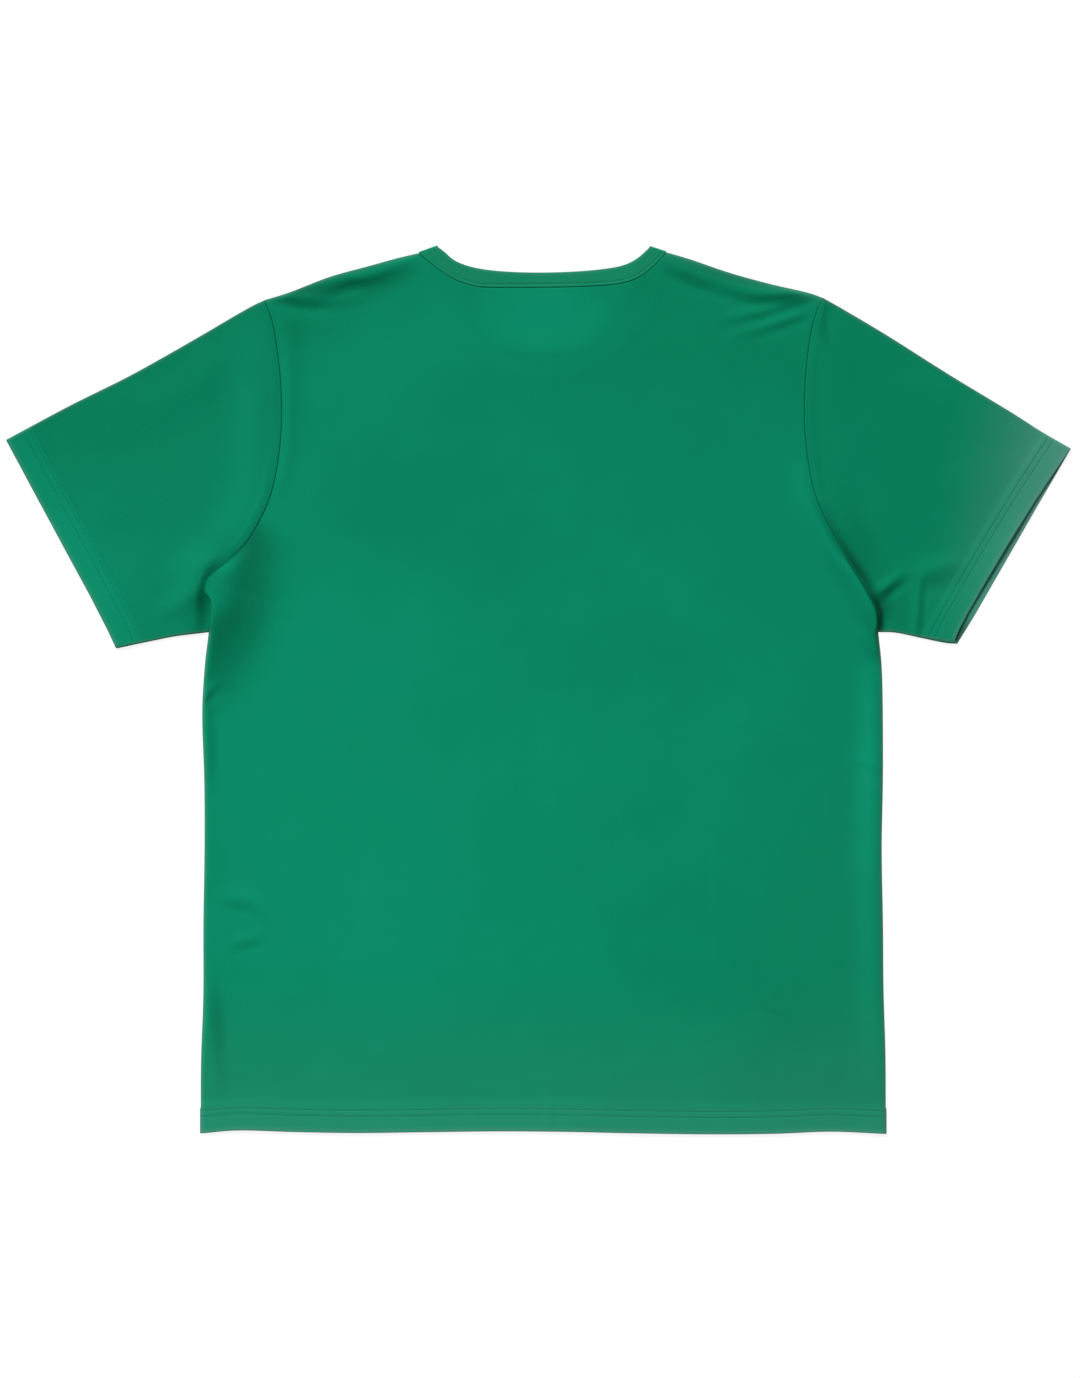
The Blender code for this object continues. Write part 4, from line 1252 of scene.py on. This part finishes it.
sleeve_jersey = jersey("sleeve_polyester_jersey", "007150", "03805E")
left_sleeve, left_cuff_seams = sleeve(
    "left_sleeve_jersey", lapped_lines[0], 1, CUFF_LEFT, LEFT_CUFF_EDGES, TOP_FOLD_LEFT, UNDERARM_SEAM_LEFT,
    LEFT_SLEEVE_FOLDS, sleeve_jersey,
)
right_sleeve, right_cuff_seams = sleeve(
    "right_sleeve_jersey", lapped_lines[1], -1, CUFF_RIGHT, RIGHT_CUFF_EDGES, TOP_FOLD_RIGHT,
    UNDERARM_SEAM_RIGHT, RIGHT_SLEEVE_FOLDS, sleeve_jersey,
)
left_cuff_stitches = stitches("left_cuff_stitches", left_cuff_seams, body_thread)
right_cuff_stitches = stitches("right_cuff_stitches", right_cuff_seams, body_thread)
for piece, sewing, stands_for in (
    (left_sleeve, left_cuff_stitches, "left_sleeve"),
    (right_sleeve, right_cuff_stitches, "right_sleeve"),
):
    for part in (piece, sewing):
        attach(part, "root")
    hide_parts(stands_for)


# ---------------------------------------------------------------------------------------------------------
# Neck band. A narrow strip of the jersey, folded double along its free edge, joined into a ring and sewn
# round the neck. It turns over at both shoulders. Its seam allowance shows as a faint line above the seam.

BACK_NECK_EDGE = (
    (-83.0, 364.0),
    (-77.5, 360.0),
    (-70.0, 353.5),
    (-61.0, 349.3),
    (-50.0, 346.4),
    (-38.0, 344.6),
    (-24.0, 343.5),
    (-8.0, 342.9),
    (8.0, 342.9),
    (24.0, 343.4),
    (40.0, 344.4),
    (54.0, 345.9),
    (66.0, 347.9),
    (74.5, 350.8),
    (82.5, 355.6),
    (91.2, 363.6),
)
BAND_END = 0.005  # the band turns over this part of its back length short of the shoulder seam
BAND_PROUD = 0.35  # above the panel that it is sewn to
BAND_HALF = 1.75  # half the band's height where it turns over
BAND_LINE = (2.9, 1.2, 0.4)  # the groove above the seam: its distance, its width and its depth
BAND_LINE_RUN = 1.3  # how much of the band's back it follows
BAND_STEPS = 110  # points along the back, and along the front
BAND_TURN = (0.8, 0.2)  # past this part of the way to a shoulder, over this part, it starts to turn over
# painted light: the band looks paler as it faces the light
BAND_PAINTED_LIGHT = 0.1
BAND_HAZE = (0.02, 0.3)  # grey all over, and a painted highlight at its folded edge

turn_tilts = np.linspace(0.0, 180.0, 13)[1:]
band_parts = np.linspace(BAND_END, 1.0 - BAND_END, BAND_STEPS)


def band_ring(back, front):
    """Points of the back line, round the right shoulder, back on the front line and round the left one."""
    back, front = points_on(back, band_parts), points_on(front, band_parts)
    return np.concatenate([
        back, np.repeat(back[-1:], len(turn_tilts), axis=0), front[-2:0:-1],
        np.repeat(back[:1], len(turn_tilts), axis=0), back[:1],
    ])


seam_ring = band_ring(back_neck_seam, front_neck_seam)
free_ring = band_ring(curve_through(BACK_NECK_EDGE), front_neck_edge)
tilt_ring = np.radians(np.concatenate([
    np.zeros(BAND_STEPS), turn_tilts, np.full(BAND_STEPS - 2, 180.0), turn_tilts[::-1], [0.0],
]))
band_across = np.concatenate([
    [0.0, 0.03, 0.07, 0.11], np.linspace(0.14, 0.28, 8), np.linspace(0.34, 0.93, 8),
])
fold_turn = np.linspace(0.0, math.pi, 9)
band_width = np.linalg.norm(free_ring - seam_ring, axis=1)
band_way = (free_ring - seam_ring) / band_width[:, None]
band_out = np.stack([-band_way[:, 1], band_way[:, 0]], axis=1) * np.sign(band_way[:, :1])
nose_at = 1.0 - FOLD_RADIUS / band_width
across_rows = [nose_at * part for part in band_across]
across_rows += [nose_at + FOLD_RADIUS * np.sin(angle) / band_width for angle in fold_turn]
across_rows += [nose_at * part for part in band_across[::-1]]
inward_rows = [0.0] * len(band_across) + [FOLD_RADIUS * (1 - math.cos(angle)) for angle in fold_turn]
inward_rows += [2 * FOLD_RADIUS] * len(band_across)
from_middle = np.arange(len(seam_ring)) - BAND_STEPS / 2
line_share = bump(from_middle / BAND_STEPS, BAND_LINE_RUN) * (tilt_ring == 0)
turning = smooth((np.abs(from_middle) / (BAND_STEPS / 2) - BAND_TURN[0]) / BAND_TURN[1])
places, heights = [], []
for across, inward in zip(across_rows, inward_rows):
    from_seam = across * band_width
    line = -BAND_LINE[2] * bump(from_seam - BAND_LINE[0], BAND_LINE[1]) * line_share * (inward == 0)
    dip = rolled(from_seam, SEAM_ROLL) * (inward == 0)
    off = BAND_HALF - inward + line - dip
    flat = seam_ring + band_way * from_seam[:, None]
    on_back = back_bed(flat)[0] + BAND_PROUD - inward + line - dip
    turned_over = BAND_HALF + off * np.cos(tilt_ring)
    heights.append(np.where(tilt_ring == 0, on_back * (1 - turning) + turned_over * turning, turned_over))
    places.append(flat + band_out * (off * np.sin(tilt_ring))[:, None])
places, heights = np.array(places), np.array(heights)
grain = np.stack([
    run_along(seam_ring)[None] + np.zeros_like(heights), np.array(across_rows) * band_width
], axis=-1)
tone = np.full(heights.shape, BAND_PAINTED_LIGHT)
from_edge = np.abs(band_width[None] * (1.0 - np.array(across_rows)))
haze = BAND_HAZE[0] + BAND_HAZE[1] * (1.0 - smooth(from_edge / RIM_WIDTH))
# a paler copy of the jersey: painted light, as the band faces the light
band_jersey = jersey("band_polyester_jersey", "0A7654", "128560")
neck_band = cloth("neck_band_jersey", places, heights, grain, tone, haze, band_jersey, closed=True)
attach(neck_band, "root")
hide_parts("neck_band")
